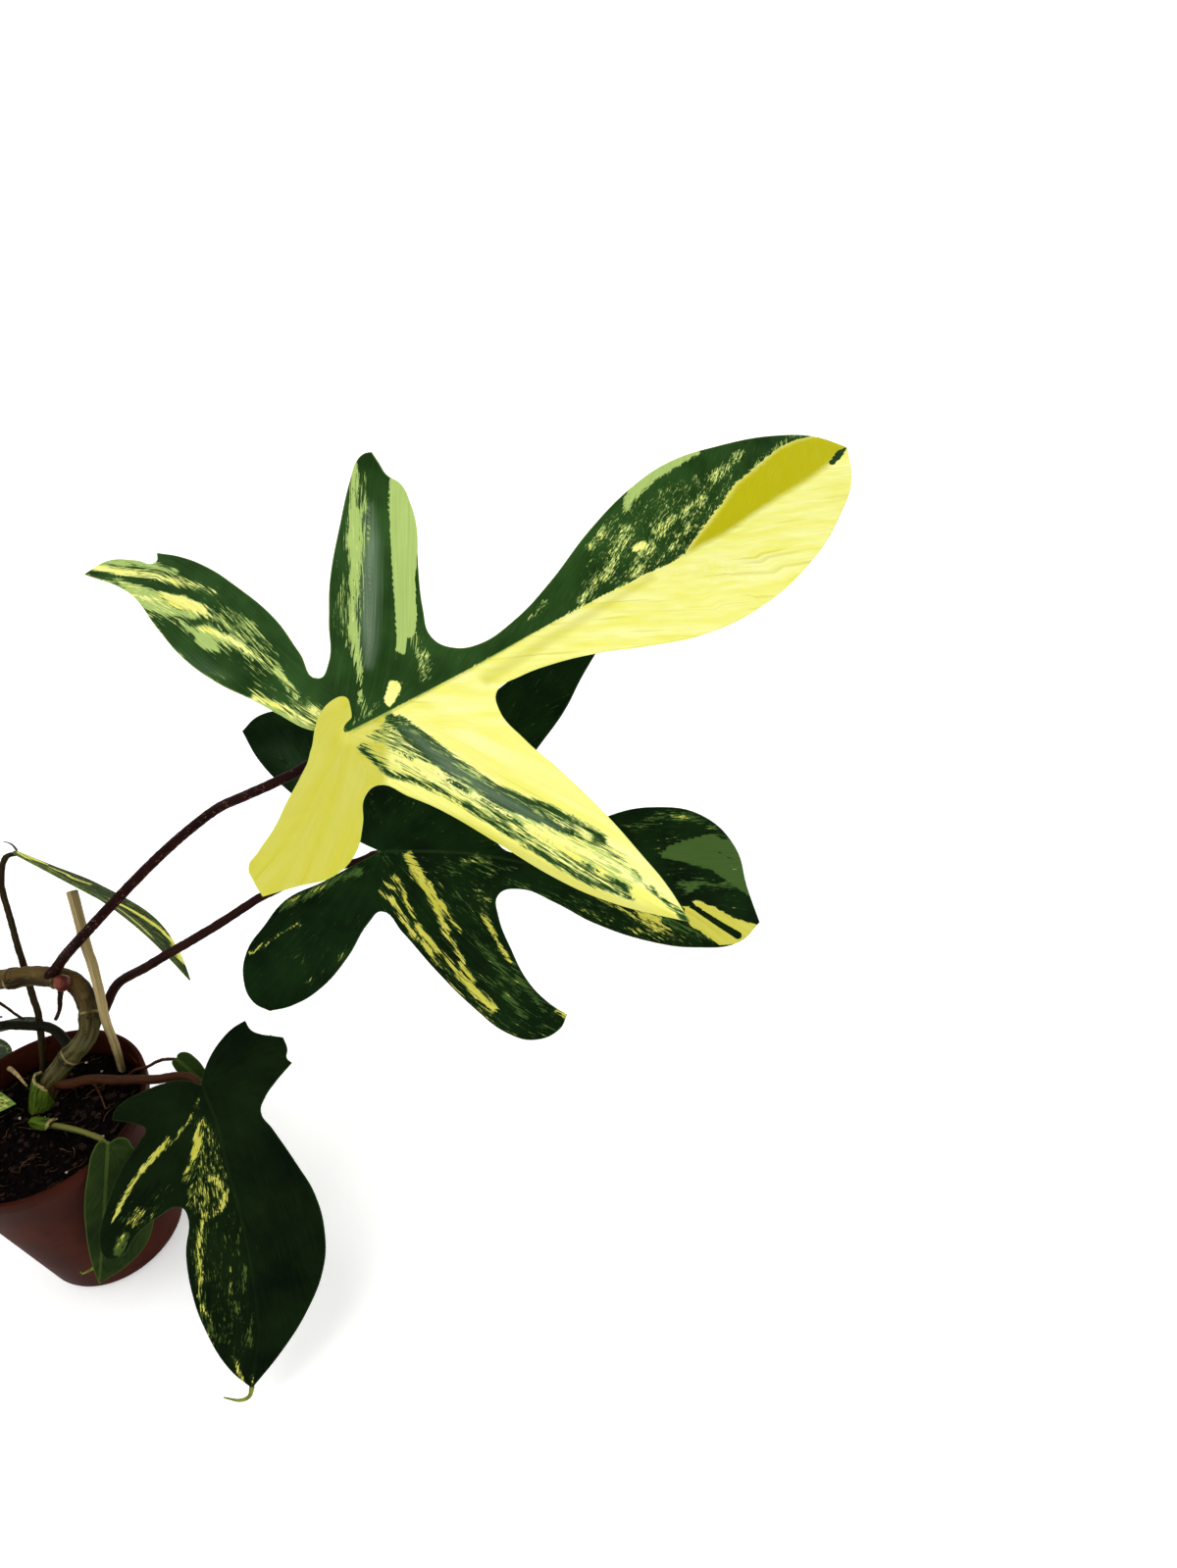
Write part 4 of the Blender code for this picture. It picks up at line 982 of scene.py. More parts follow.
class Surface:
    """A material under construction: its patterns, and the nodes behind them."""

    def __init__(self, name):
        self.material = bpy.data.materials.new(name)
        self.material.use_nodes = True
        self.tree = self.material.node_tree
        self.shader = self.tree.nodes["Principled BSDF"]

    def node(self, kind, settings, sockets, output=0):
        item = self.tree.nodes.new(kind)
        for name, setting in settings.items():
            setattr(item, name, setting)
        for key, value in sockets.items():
            self.feed(item.inputs[key], value)
        return Value(self, item.outputs[output])

    def feed(self, socket, value):
        if isinstance(value, Value):
            self.tree.links.new(value.socket, socket)
        else:
            socket.default_value = value

    def maths(self, operation, *numbers):
        return self.node("ShaderNodeMath", {"operation": operation}, dict(enumerate(numbers)))

    def attribute(self, name, output="Fac"):
        return self.node("ShaderNodeAttribute", {"attribute_name": name}, {}, output)

    def uv(self, name):
        return self.node("ShaderNodeUVMap", {"uv_map": name}, {})

    def place(self):
        """Object coordinates in millimetres."""
        return self.scaled(self.node("ShaderNodeTexCoord", {}, {}, "Object"), (1 / MM, 1 / MM, 1 / MM))

    def skin(self):
        """Where a point is on a stalk, in millimetres: across, across and along."""
        return self.attribute("skin", "Vector")

    def upward(self):
        """How far the surface faces up, from -1 to 1."""
        return self.part(self.node("ShaderNodeNewGeometry", {}, {}, "Normal"), 2)

    def scaled(self, vector, factors):
        return self.node("ShaderNodeVectorMath", {"operation": "MULTIPLY"}, {0: vector, 1: factors})

    def part(self, vector, axis):
        return self.node("ShaderNodeSeparateXYZ", {}, {0: vector}, axis)

    def grain(self, vector, size, detail=2.0, rough=0.55):
        """Soft noise between 0 and 1 whose lumps are about size across; size may be one for each axis."""
        sizes = size if isinstance(size, tuple) else (size, size, size)
        where = self.scaled(vector, tuple(1 / s for s in sizes))
        sockets = {"Vector": where, "Scale": 0.5, "Detail": detail, "Roughness": rough}
        return self.node("ShaderNodeTexNoise", {}, sockets)

    def cells(self, vector, size):
        """The distance from the nearest of scattered points about size apart, from 0 to about 1."""
        return self.node("ShaderNodeTexVoronoi", {}, {"Vector": vector, "Scale": 1 / size})

    def mix(self, share, first, second):
        """From the first colour to the second; a plain colour is written as it is seen."""
        sockets = {0: share, 6: tone(first), 7: tone(second)}
        return self.node("ShaderNodeMix", {"data_type": "RGBA"}, sockets, 2)

    def finish(self, colour, roughness, height=None, depth=0.2, shine=0.5, **constants):
        """Feeds the shader; height is in millimetres times depth, and the constants stay plain."""
        self.feed(self.shader.inputs["Base Color"], tone(colour))
        self.feed(self.shader.inputs["Roughness"], roughness)
        if height is not None:
            sockets = {"Strength": 1.0, "Distance": depth * MM, "Height": height}
            self.feed(self.shader.inputs["Normal"], self.node("ShaderNodeBump", {}, sockets))
        self.shader.inputs["Specular IOR Level"].default_value = shine
        for name, value in constants.items():
            self.shader.inputs[name.replace("_", " ")].default_value = value
        return self.material


def leaf_surface(look, under):
    """A glossy blade in green and yellow; its underside is paler, greener and matt."""
    tones = dict(zip(TONES, LOOKS[look]))
    rib_shows, shine, under_grey = HABITS[look]
    skin = Surface(look + (" leaf underside" if under else " leaf"))
    pale, gold, lime, painted_sheen, edge = (skin.attribute(name) for name in (*BLUR, "edge"))
    flow = skin.scaled(skin.uv("flow"), (100, 100, 0))
    lobe = skin.scaled(skin.uv("lobe"), (100, 100, 0))
    across = abs(skin.part(lobe, 0))
    along = skin.part(lobe, 1).rest(VEIN_ROOM)

    streak, fleck, hair, wash, patch, crease_shade = (
        skin.grain(flow, (*size, 1), detail, rough) for *size, detail, rough in GRAINS.values())
    cloud = skin.grain(skin.place(), 14.0, 2.0)
    ragged = (streak - 0.5) * 2.2 + (fleck - 0.5) * 3.4 + (patch - 0.5) * 1.4
    field = pale + ragged
    yellow = field.rise(0.0, 0.12)
    fringe = field.rise(-0.45, 0.0) * 0.7
    bright = (lime + ragged + (hair - 0.5) * 0.8).rise(-0.15, 0.2).most(fringe)

    green = skin.mix((cloud * 0.8 + hair * 0.4).rise(0.35, 0.85), tones["deep"], tones["fresh"])
    # Painted sheen: the green turns grey where the sheen pattern lies, a reflection painted in.
    green = skin.mix((painted_sheen * (0.45 + hair * 0.8)).rise(0.15, 1.0), green, tones["grey"])
    green = skin.mix(bright * (0.65 + hair * 0.5), green, tones["lime"])
    cream = skin.mix((wash * 0.9 + hair * 0.35).rise(0.35, 0.9), tones["warm"], tones["pale"])
    # Painted glints: whitish specks on the yellow under the painted sheen.
    cream = skin.mix(painted_sheen * fleck.rise(0.5, 0.6) * 0.8, cream, PAINTED_GLINT)
    # Painted shade: the yellow darkens towards gold along soft creases.
    cream = skin.mix(crease_shade.rise(0.6, 0.74) * 0.3, cream, tones["gold"])
    cream = skin.mix(gold * (0.85 + hair * 0.3), cream, tones["gold"])
    midrib = skin.part(lobe, 1).rise(VEIN_ROOM - 10, VEIN_ROOM - 20) * along.rise(150.0, 50.0)
    rib = (across - (0.75 - along * 0.003)).rise(0.3, -0.15) * midrib
    green = skin.mix(rib * rib_shows, green, tones["vein"])
    cream = skin.mix(rib * 0.4, cream, tones["gold"])
    colour = skin.mix(yellow, green, cream)
    colour = skin.mix(edge.rise(0.5, 0.1) * 0.3, colour, tones["vein"])

    groove = across.rise(1.6, 0.0)
    swell = abs(((along - across * SIDE_VEIN_SLANT) / SIDE_VEIN_GAP).fraction() - 0.5)
    height = hair * 0.25 - groove * 0.9 + swell.rise(0.0, 0.5) * 0.7 + cloud * 0.6
    if under:
        colour = skin.mix(under_grey, colour, tones["grey"])
        return skin.finish(colour, 0.62 + hair * 0.15, height, 0.25, shine=0.1)
    rough = 0.42 + hair * 0.16 + yellow * 0.06
    return skin.finish(colour, rough, height, 0.25, shine=shine, IOR=1.3)


@cache
def leaf_surfaces(look):
    return leaf_surface(look, False), leaf_surface(look, True)


@cache
def rib_surface(look):
    tones = dict(zip(TONES, LOOKS[look]))
    skin = Surface(look + " leaf rib")
    cloud = skin.grain(skin.place(), 6.0)
    colour = skin.mix(cloud.rise(0.3, 0.7), tones["grey"], tones["vein"])
    return skin.finish(colour, 0.5 + cloud * 0.15, skin.grain(skin.place(), 0.7), 0.1)


@cache
def stalk_surface(name, dark, brown, light, speck, speck_share, top):
    """A leaf stalk: streaked along its length, freckled pale, and with its upper side painted another colour
    for the light that falls on it.
    """
    skin = Surface(name)
    along = skin.skin()
    streak = skin.grain(along, (0.7, 0.7, 12.0), 3.0)
    blotch = skin.grain(along, (2.5, 2.5, 9.0), 2.0)
    colour = skin.mix(streak.rise(0.3, 0.7), dark, brown)
    colour = skin.mix(blotch.rise(0.55, 0.75) * 0.6, colour, light)
    # Painted light: the upper side, which faces the light, takes the top colour.
    colour = skin.mix(skin.upward().rise(0.1, 0.9) * 0.7, colour, top)
    freckles = skin.cells(skin.scaled(along, (1, 1, 0.6)), 0.85)
    shape = freckles.rise(0.42, 0.22) * skin.grain(along, 1.6).rise(0.75 - speck_share, 0.85 - speck_share)
    colour = skin.mix(shape, colour, speck)
    height = shape * 1.0 + streak * 0.5
    return skin.finish(colour, 0.46 + streak * 0.25, height, 0.22, shine=0.035)


@cache
def stem_surface():
    """Old stem: olive with a painted grey-green sheen low down, tan and brown patches, dark scars and torn
    rings.
    """
    skin = Surface("stem skin")
    along = skin.skin()
    length = skin.part(along, 2)
    streak = skin.grain(along, (0.8, 0.8, 8.0), 3.0)
    patch = skin.grain(along, (3.0, 3.0, 7.0), 2.0)
    fine = skin.grain(along, 0.6, 3.0)
    low = skin.mix(streak.rise(0.3, 0.7), (34, 31, 13), (84, 80, 44))
    high = skin.mix(streak.rise(0.3, 0.7), (28, 22, 10), (64, 52, 28))
    colour = skin.mix(length.rise(52.0, 84.0), low, high)
    colour = skin.mix(patch.rise(0.56, 0.7) * 0.8, colour, (98, 82, 48))
    colour = skin.mix(patch.rise(0.44, 0.3) * 0.8, colour, (52, 24, 10))
    foot = length.rise(30.0, 12.0) * skin.grain(along, 2.5).rise(0.35, 0.6)
    colour = skin.mix(foot * 0.7, colour, (110, 58, 24))
    sunlit = skin.upward().rise(0.35, 0.95) * length.rise(60.0, 90.0)
    colour = skin.mix(sunlit * 0.6, colour, (104, 84, 44))
    # Painted sheen: grey-green over the lower stem, a reflection painted in.
    painted_sheen = skin.grain(along, 5.0).rise(0.5, 0.7) * length.rise(75.0, 55.0)
    colour = skin.mix(painted_sheen * 0.3, colour, (78, 82, 66))
    warts = skin.cells(along, 1.5).rise(0.3, 0.16) * skin.grain(along, 4.0).rise(0.48, 0.6)
    colour = skin.mix(warts * 0.8, colour, (24, 12, 6))
    route = smooth_route(STEM, 1.0)
    whole = sum((b - a).length for a, b in zip(route, route[1:]))
    for way in STEM_NODES:
        scar = abs(length - way * whole).rise(2.0, 0.6) * fine.rise(0.42, 0.56)
        colour = skin.mix(scar * 0.75, colour, (22, 13, 6))
        torn = abs(length - (way * whole + TORN_RING)).rise(0.9, 0.2) * patch.rise(0.4, 0.6)
        colour = skin.mix(torn * 0.6, colour, (158, 140, 92))
    height = streak * 0.7 + warts * 1.0 + fine * 0.5
    return skin.finish(colour, 0.5 + fine * 0.3, height, 0.35, shine=0.06)


@cache
def pot_surface():
    """Brown injection-moulded plastic, scuffed and dusty, with dried splashes of compost."""
    skin = Surface("pot plastic")
    place = skin.place()
    cloud = skin.grain(place, 16.0, 3.0)
    fine = skin.grain(place, 0.7, 3.0)
    scuff = skin.grain(place, (5.0, 5.0, 0.8), 3.0)
    colour = skin.mix(cloud.rise(0.35, 0.7), (44, 16, 8), (60, 24, 13))
    colour = skin.mix(scuff.rise(0.58, 0.75) * 0.35, colour, (62, 30, 20))
    splash = skin.cells(place, 5.0).rise(0.26, 0.16) * cloud.rise(0.5, 0.6)
    colour = skin.mix(splash * 0.6, colour, (30, 18, 12))
    rough = 0.48 + cloud * 0.18 + scuff.rise(0.58, 0.75) * 0.15
    return skin.finish(colour, rough, fine * 0.5 + scuff * 0.5, 0.12, shine=0.025)


@cache
def compost_surface():
    """Moist dark compost with peat crumbs and specks of bark."""
    skin = Surface("compost")
    place = skin.place()
    crumb = skin.grain(place, 1.6, 4.0, 0.65)
    cloud = skin.grain(place, 9.0)
    colour = skin.mix(crumb.rise(0.35, 0.7), (3, 2, 2), (15, 10, 8))
    colour = skin.mix(cloud.rise(0.5, 0.75) * 0.5, colour, (10, 7, 5))
    flake = skin.cells(place, 2.2).rise(0.34, 0.24) * skin.grain(place, 3.0).rise(0.5, 0.62)
    colour = skin.mix(flake * 0.7, colour, (40, 27, 17))
    return skin.finish(colour, 0.9, crumb * 1.5 + flake, 0.6, shine=0.02)


@cache
def crumb_surface(name, dark, light, size):
    """A loose bit of something dry: bark, perlite, root or dead leaf."""
    skin = Surface(name)
    place = skin.place()
    grain = skin.grain(place, size, 3.0, 0.6)
    blotch = skin.grain(place, size * 5, 2.0)
    colour = skin.mix((grain * 0.7 + blotch * 0.5).rise(0.4, 0.8), dark, light)
    return skin.finish(colour, 0.75 + grain * 0.15, grain, 0.15, shine=0.1)


@cache
def wood_surface():
    """Split bamboo or softwood: long pale grain with darker lines and a grubby foot."""
    skin = Surface("stake wood")
    along = skin.skin()
    grain = skin.grain(along, (0.35, 0.35, 22.0), 3.0)
    wide = skin.grain(along, (1.6, 1.6, 40.0), 2.0)
    colour = skin.mix((grain * 0.6 + wide * 0.6).rise(0.4, 0.8), (124, 104, 60), (172, 154, 102))
    colour = skin.mix(grain.rise(0.36, 0.26) * 0.7, colour, (96, 72, 38))
    grub = skin.part(along, 2).rise(40.0, 6.0) * skin.grain(along, 4.0).rise(0.3, 0.65)
    colour = skin.mix(grub * 0.6, colour, (86, 64, 36))
    return skin.finish(colour, 0.66 + grain * 0.2, grain * 1.0 + wide * 0.5, 0.2)


@cache
def bud_surface():
    """A swollen bud: mottled red-brown with a faint gloss."""
    skin = Surface("bud skin")
    place = skin.place()
    cloud = skin.grain(place, 3.0, 3.0)
    fine = skin.grain(place, 0.6, 2.0)
    colour = skin.mix(cloud.rise(0.35, 0.7), (58, 18, 7), (116, 44, 20))
    colour = skin.mix(fine.rise(0.6, 0.75) * 0.4, colour, (122, 56, 30))
    return skin.finish(colour, 0.3 + fine * 0.2, cloud + fine * 0.4, 0.25, shine=0.2, Coat_Weight=0.08)


@cache
def sheath_surface():
    """A cut leaf sheath: olive green, ribbed along its length, dried to cream at the torn rim."""
    skin = Surface("sheath skin")
    along = skin.skin()
    ribs = skin.grain(along, (0.5, 0.5, 9.0), 3.0)
    colour = skin.mix(ribs.rise(0.3, 0.7), (30, 40, 6), (78, 102, 22))
    dry = (skin.attribute("rim") + (skin.grain(along, 1.2) - 0.5) * 1.2).rise(0.35, 0.75)
    colour = skin.mix(dry * 0.75, colour, (164, 150, 96))
    return skin.finish(colour, 0.5 + ribs * 0.2, ribs, 0.2, shine=0.06)


# The pieces

def pot_r(z):
    """The pot's outer half width at a height under its lip."""
    return POT_BASE_R + POT_SLOPE * z


def build_pot():
    """A tapered nursery pot with a rolled lip, one turned shell with drain holes in its flat floor."""
    lip_low = POT_HEIGHT - POT_LIP
    inside = POT_RIM_R - POT_WALL
    profile = [
        (inside - 0.6, POT_HEIGHT - 0.5), (inside - 0.3, POT_HEIGHT), (POT_RIM_R - 0.5, POT_HEIGHT),
        (POT_RIM_R, POT_HEIGHT - 0.6), (POT_RIM_R - 0.3, POT_HEIGHT - 3.4), (POT_RIM_R - 0.6, lip_low + 0.4),
        (POT_RIM_R - 1.0, lip_low), (pot_r(lip_low), lip_low - 0.6), (pot_r(60), 60), (pot_r(30), 30),
        (pot_r(2.2), 2.2), (POT_BASE_R - 0.4, 0.5), (POT_BASE_R - 1.2, 0), (POT_FLAT_R, 0), (0, 0),
        (0, POT_FLOOR), (POT_FLAT_R, POT_FLOOR), (POT_BASE_R - POT_WALL - 1.5, POT_FLOOR),
        (pot_r(4) - POT_WALL, 4), (pot_r(50) - POT_WALL, 50), (pot_r(lip_low) - POT_WALL, lip_low - 2),
        (inside - 1.6, lip_low + 1.5),
    ]
    work = bmesh.new()
    corners = [work.verts.new((r * MM, 0, z * MM)) for r, z in profile]
    for a, b in zip(corners, [*corners[1:], corners[0]]):
        work.edges.new((a, b))
    pot = add_solid("pot_shell", work)
    turn = pot.modifiers.new("turned", "SCREW")
    turn.steps = turn.render_steps = 120
    turn.use_merge_vertices = True
    turn.merge_threshold = 0.01 * MM
    cutters = []
    for i in range(DRAINS):
        angle = 2 * pi * (i + 0.5) / DRAINS
        hole = bmesh.new()
        place = Matrix.Translation(Vector((cos(angle), sin(angle), 0)) * DRAIN_RING_R * MM)
        bmesh.ops.create_cone(hole, cap_ends=True, segments=32, radius1=DRAIN_R * MM, radius2=DRAIN_R * MM,
                              depth=10 * MM, matrix=place)
        cutters.append(add_solid(f"drain_{i}", hole))
    cut_out(pot, *cutters)
    edges = pot.modifiers.new("softened", "BEVEL")
    edges.width = 0.18 * MM
    edges.segments = 2
    edges.angle_limit = radians(25)
    pot = as_mesh(pot, pot_surface())
    remove(*cutters)
    return place_piece(pot, "pot_plastic", "pot")


def soil_height(x, y):
    """Loose compost: a low mound with lumps and crumbs."""
    place = Vector((x, y, 0))
    edge = smooth_step(hypot(x, y), 40, 49)
    lumps = noise.noise(place * 0.11) * 1.6 + noise.noise(place * 0.31 + Vector((7, 3, 1))) * 0.8
    crumbs = noise.noise(place * 0.7 + Vector((2, 9, 4))) * 0.9 + noise.noise(place * 1.5) * 0.5
    return SOIL_TOP + lumps * (1 - edge) - 1.5 * edge + crumbs * (1 - edge * 0.6)


def build_compost():
    """The compost fills the pot from its floor to just under the lip."""
    low = POT_FLOOR + SEAT
    low_r = POT_BASE_R - POT_WALL - 1.5 - SEAT
    top_r = pot_r(SOIL_EDGE) - POT_WALL - SEAT - 0.4
    middle = (low + SOIL_EDGE) / 2
    work = bmesh.new()
    bmesh.ops.create_cone(work, cap_ends=True, segments=150, radius1=low_r * MM, radius2=top_r * MM,
                          depth=(SOIL_EDGE - low) * MM, matrix=Matrix.Translation((0, 0, middle * MM)))
    top = [max(work.faces, key=lambda face: face.calc_center_median().z)]
    rings = 42
    for _ in range(rings):
        bmesh.ops.inset_region(work, faces=top, thickness=(top_r / (rings + 0.5)) * MM, use_even_offset=True)
    for v in work.verts:
        if v.co.z > middle * MM:
            rim = hypot(v.co.x, v.co.y) > (top_r - 0.5) * MM
            v.co.z = (SOIL_EDGE if rim else soil_height(v.co.x / MM, v.co.y / MM)) * MM
    return place_piece(add_solid("compost_bed", work, compost_surface()), "compost", "soil")


def scattered(name, places, size, flatness, surface, seed):
    """Loose bits: knobbly lumps of a few dozen faces, each turned its own way."""
    chance = Random(seed)
    work = bmesh.new()
    for place in places:
        scale = chance.uniform(*size)
        shape = (scale, scale * chance.uniform(0.6, 1.0), scale * chance.uniform(*flatness))
        turn = Matrix.Rotation(chance.uniform(0, 2 * pi), 4, "Z")
        tilt = Matrix.Rotation(chance.uniform(-0.5, 0.5), 4, "X")
        placed = Matrix.Translation([c * MM for c in place]) @ turn @ tilt
        lump = bmesh.ops.create_icosphere(work, subdivisions=1, radius=0.5,
                                          matrix=placed @ Matrix.Diagonal((*[s * MM for s in shape], 1)))
        for v in lump["verts"]:
            v.co += Vector([chance.uniform(-0.12, 0.12) * scale * MM for _ in range(3)])
    return place_piece(add_solid(name, work, surface), "compost", sharp=30)


def on_soil(chance, count, lift=0.3, reach=45.0):
    """Places scattered evenly over the compost."""
    places = []
    for _ in range(count):
        r, angle = reach * chance.random() ** 0.5, chance.uniform(0, 2 * pi)
        x, y = r * cos(angle), r * sin(angle)
        places.append((x, y, soil_height(x, y) + lift))
    return places


def strands(name, lines, surface, slot):
    """Thin roots and fibres, each a tapering line of its own."""
    data = round_curve(name, 2)
    for points, start_r, end_r in lines:
        route = smooth_route(points, 1.5)
        add_line(data, route, [start_r + (end_r - start_r) * i / (len(route) - 1) for i in range(len(route))])
    return place_piece(as_mesh(add_object(name, data), surface), slot)


# Where the photograph shows white grains on the compost
PERLITE = [(25.4, 0.4), (17.9, -32.1), (9.8, 38), (20.1, 29.6), (-3.3, 5.8), (-16.3, 7.6), (-4.7, 44),
           (31, -14), (-24, -18), (-30, 22)]


def build_soil_bits():
    chance = Random(11)
    perlite = crumb_surface("perlite", (150, 142, 122), (214, 208, 190), 0.5)
    bark = crumb_surface("bark chip", (14, 9, 6), (46, 30, 20), 0.9)
    grains = [(x, y, soil_height(x, y) + 0.4) for x, y in PERLITE]
    scattered("perlite", grains, (1.2, 2.2), (0.6, 0.9), perlite, 3)
    scattered("bark_chips", on_soil(chance, 130), (1.6, 4.6), (0.3, 0.6), bark, 4)
    peat = on_soil(chance, 260, 0.2)
    crumb = crumb_surface("peat crumb", (6, 4, 3), (22, 15, 11), 0.5)
    scattered("peat_crumbs", peat, (0.8, 2.2), (0.5, 0.9), crumb, 5)
    fibres = []
    for x, y, _ in on_soil(chance, 70, 0.5, 43.0):
        angle = chance.uniform(0, 2 * pi)
        length = chance.uniform(5, 14)
        line = []
        for _ in range(4):
            angle += chance.uniform(-0.6, 0.6)
            x, y = x + cos(angle) * length / 4, y + sin(angle) * length / 4
            if hypot(x, y) < 46:
                line.append((x, y, soil_height(x, y) + chance.uniform(0.2, 1.0)))
        if len(line) > 2:
            fibres.append((line, chance.uniform(0.12, 0.3), 0.08))
    strands("root_fibres", fibres, crumb_surface("dry root", (40, 26, 16), (96, 70, 46), 0.8), "compost")


def node_swell(way):
    """A stem thickens at each leaf scar, where a thin ring stands out, and narrows to its end."""
    bumps = sum(0.10 * max(0, 1 - abs(way - at) / 0.025) for at in STEM_NODES)
    rings = sum(0.05 * max(0, 1 - abs(way - at - 0.012) / 0.006) for at in STEM_NODES)
    return (1 + bumps + rings) * (1 - 0.25 * smooth_step(way, 0.75, 1.0))


def build_stem():
    item = tube("main_stem", STEM, STEM_R, STEM_R, stem_surface(), node_swell, 1.0, 12)
    roughen(item.data, 0.5, 3.0, 4.0)
    return place_piece(item, "stem_skin", "stem")


# Each stalk's surface: its name, the dark and brown of its streaks, its paler blotches, its freckles and
# their share, and the painted light on its upper side
STALK_SKINS = {
    "petiole_high": ("speckled stalk", (14, 3, 3), (34, 11, 8), (46, 20, 15), (106, 70, 56), 0.24,
                     (26, 9, 7)),
    "petiole_low": ("dark stalk", (18, 7, 5), (42, 20, 14), (56, 32, 24), (110, 80, 62), 0.05, (38, 18, 14)),
    "petiole_hanging": ("mottled stalk", (28, 12, 6), (70, 34, 17), (58, 26, 15), (112, 84, 54), 0.1,
                        (62, 38, 22)),
    "petiole_heart": ("green stalk", (34, 42, 18), (64, 76, 38), (84, 92, 46), (130, 130, 82), 0.0,
                      (116, 112, 52)),
    "petiole_side": ("olive stalk", (24, 20, 10), (50, 40, 22), (42, 36, 16), (96, 80, 50), 0.05,
                     (48, 38, 24)),
    "petiole_back": ("old stalk", (6, 6, 2), (18, 17, 7), (30, 26, 13), (58, 50, 30), 0.05, (20, 19, 9)),
}
STALK_LIKE = {"petiole_young": "petiole_hanging", "petiole_left": "petiole_high",
              "petiole_soil": "petiole_heart"}
ROOT_SKIN = ("aerial root", (20, 11, 6), (44, 27, 15), (60, 42, 26), (96, 74, 50), 0.15, (44, 30, 18))


def narrow_top(way):
    """A stalk narrows where it runs in under its blade."""
    return 1 - 0.28 * smooth_step(way, 0.94, 1.0)


def build_stalks():
    for node, (route, start_r, end_r) in STALKS.items():
        _, _, along, up = leaf_frame(LEAVES[node.replace("petiole", "leaf")])
        sunk = Vector(route[-1]) - up * end_r * 0.55 + along * end_r * 0.6
        skin = stalk_surface(*STALK_SKINS[STALK_LIKE.get(node, node)])
        name = node.replace("petiole", "stalk")
        item = tube(name, [*route[:-1], sunk], start_r, end_r, skin, narrow_top, 1.5, 5)
        roughen(item.data, 0.22, 2.0, start_r)
        place_piece(item, "green_petiole_skin" if node == "petiole_heart" else "petiole_skin", node)


def build_roots():
    for node, (route, start_r, end_r) in ROOTS.items():
        name = node.replace("root", "aerial_root")
        item = tube(name, route, start_r, end_r, stalk_surface(*ROOT_SKIN), None, 1.0, 4)
        roughen(item.data, 0.25, 1.5)
        place_piece(item, "root_skin", node)


def build_stake():
    """A crooked split-wood stake of square section with worn edges, narrower at its foot."""
    route = smooth_route(STAKE, 2.5)
    facing = Vector((0.8, -0.6, 0)).normalized()
    sections = []
    for i, place in enumerate(route):
        ahead = (route[min(i + 1, len(route) - 1)] - route[max(i - 1, 0)]).normalized()
        across = (facing - ahead * facing.dot(ahead)).normalized()
        taper = STAKE_FOOT + (1 - STAKE_FOOT) * i / len(route)
        half = STAKE_SIDE / 2 * (taper + 0.05 * noise.noise(place * 0.12))
        turned = Matrix((across * half * MM, ahead.cross(across) * half * MM, ahead * MM)).transposed()
        sections.append(Matrix.Translation(place * MM) @ turned.to_4x4())
    work = bmesh.new()
    bmesh.ops.create_grid(work, x_segments=1, y_segments=1, size=1, matrix=sections[0])
    end = next(iter(work.faces))
    for before, after in zip(sections, sections[1:]):
        grown = bmesh.ops.extrude_face_region(work, geom=[end, *end.edges])
        end = next(part for part in grown["geom"] if isinstance(part, bmesh.types.BMFace))
        bmesh.ops.transform(work, verts=end.verts[:], matrix=after @ before.inverted())
    bmesh.ops.recalc_face_normals(work, faces=work.faces[:])
    sharp = [edge for edge in work.edges if edge.calc_face_angle(0) > radians(40)]
    bmesh.ops.bevel(work, geom=sharp, offset=0.35 * MM, offset_type="OFFSET", affect="EDGES", segments=2,
                    profile=0.5, material=-1)
    item = add_solid("support_stick", work, wood_surface())
    roughen(item.data, 0.2, 2.5)
    mark_skin(item.data, route)
    return place_piece(item, "stake_wood", "stake", sharp=50)


def build_bud():
    """A round bud with low ridges and a slight point."""
    work = bmesh.new()
    at = Vector(BUD["at"])
    size = Matrix.Diagonal((*[s * MM for s in BUD["size"]], 1))
    bmesh.ops.create_uvsphere(work, u_segments=32, v_segments=24, radius=1, matrix=size)
    for v in work.verts:
        ridge = 1 + 0.05 * smooth_step(noise.noise(v.co / (1.6 * MM)), 0.0, 0.5)
        point = 1 + 0.14 * smooth_step(v.co.normalized().dot(Vector((0.5, -0.6, 0.62))), 0.8, 1.0)
        v.co = v.co * ridge * point + at * MM
    return place_piece(add_solid("side_bud", work, bud_surface()), "bud_skin", "bud")


def build_sheath(node, route, low_r, high_r, side, opening):
    """A cut leaf sheath: a flaring tube round a stem's foot, open on one side, with a torn rim."""
    points = [Vector(p) for p in route]
    foot = points[0] + (points[0] - points[1]).normalized() * SHEATH_OVERRUN
    top = points[-1] + (points[-1] - points[-2]).normalized() * SHEATH_OVERRUN
    name = node.replace("sheath", "cut_sheath")
    item = tube(name, points, low_r + SHEATH_WALL, high_r + SHEATH_WALL, sheath_surface(), None, 1.0, 14)
    inside = tube("inside", [foot, *points[1:-1], top], low_r, high_r, None, None, 1.0, 14)
    away = Vector(side).normalized()
    middle = points[len(points) // 2] + away * (SHEATH_GAP / 2 + opening)
    aim = away.to_track_quat("X", "Z").to_matrix().to_4x4()
    box = bmesh.new()
    bmesh.ops.create_cube(box, size=SHEATH_GAP * MM, matrix=Matrix.Translation(middle * MM) @ aim)
    gap = add_solid("opening", box)
    cut_out(item, inside, gap)
    item = as_mesh(item, sheath_surface())
    remove(inside, gap)
    mark_skin(item.data, smooth_route(points, 1.0))
    ahead = (points[-1] - points[-2]).normalized()
    levels = []
    for v in item.data.vertices:
        rise = (v.co / MM - points[-1]).dot(ahead)
        levels.append(smooth_step(rise, -2.2, 0.0))
        v.co += ahead * MM * noise.noise(v.co / (1.3 * MM)) * 1.6 * smooth_step(rise, -2.5, 0.0)
    keep_values(item.data, "rim", levels)
    return place_piece(item, "sheath_skin", node)


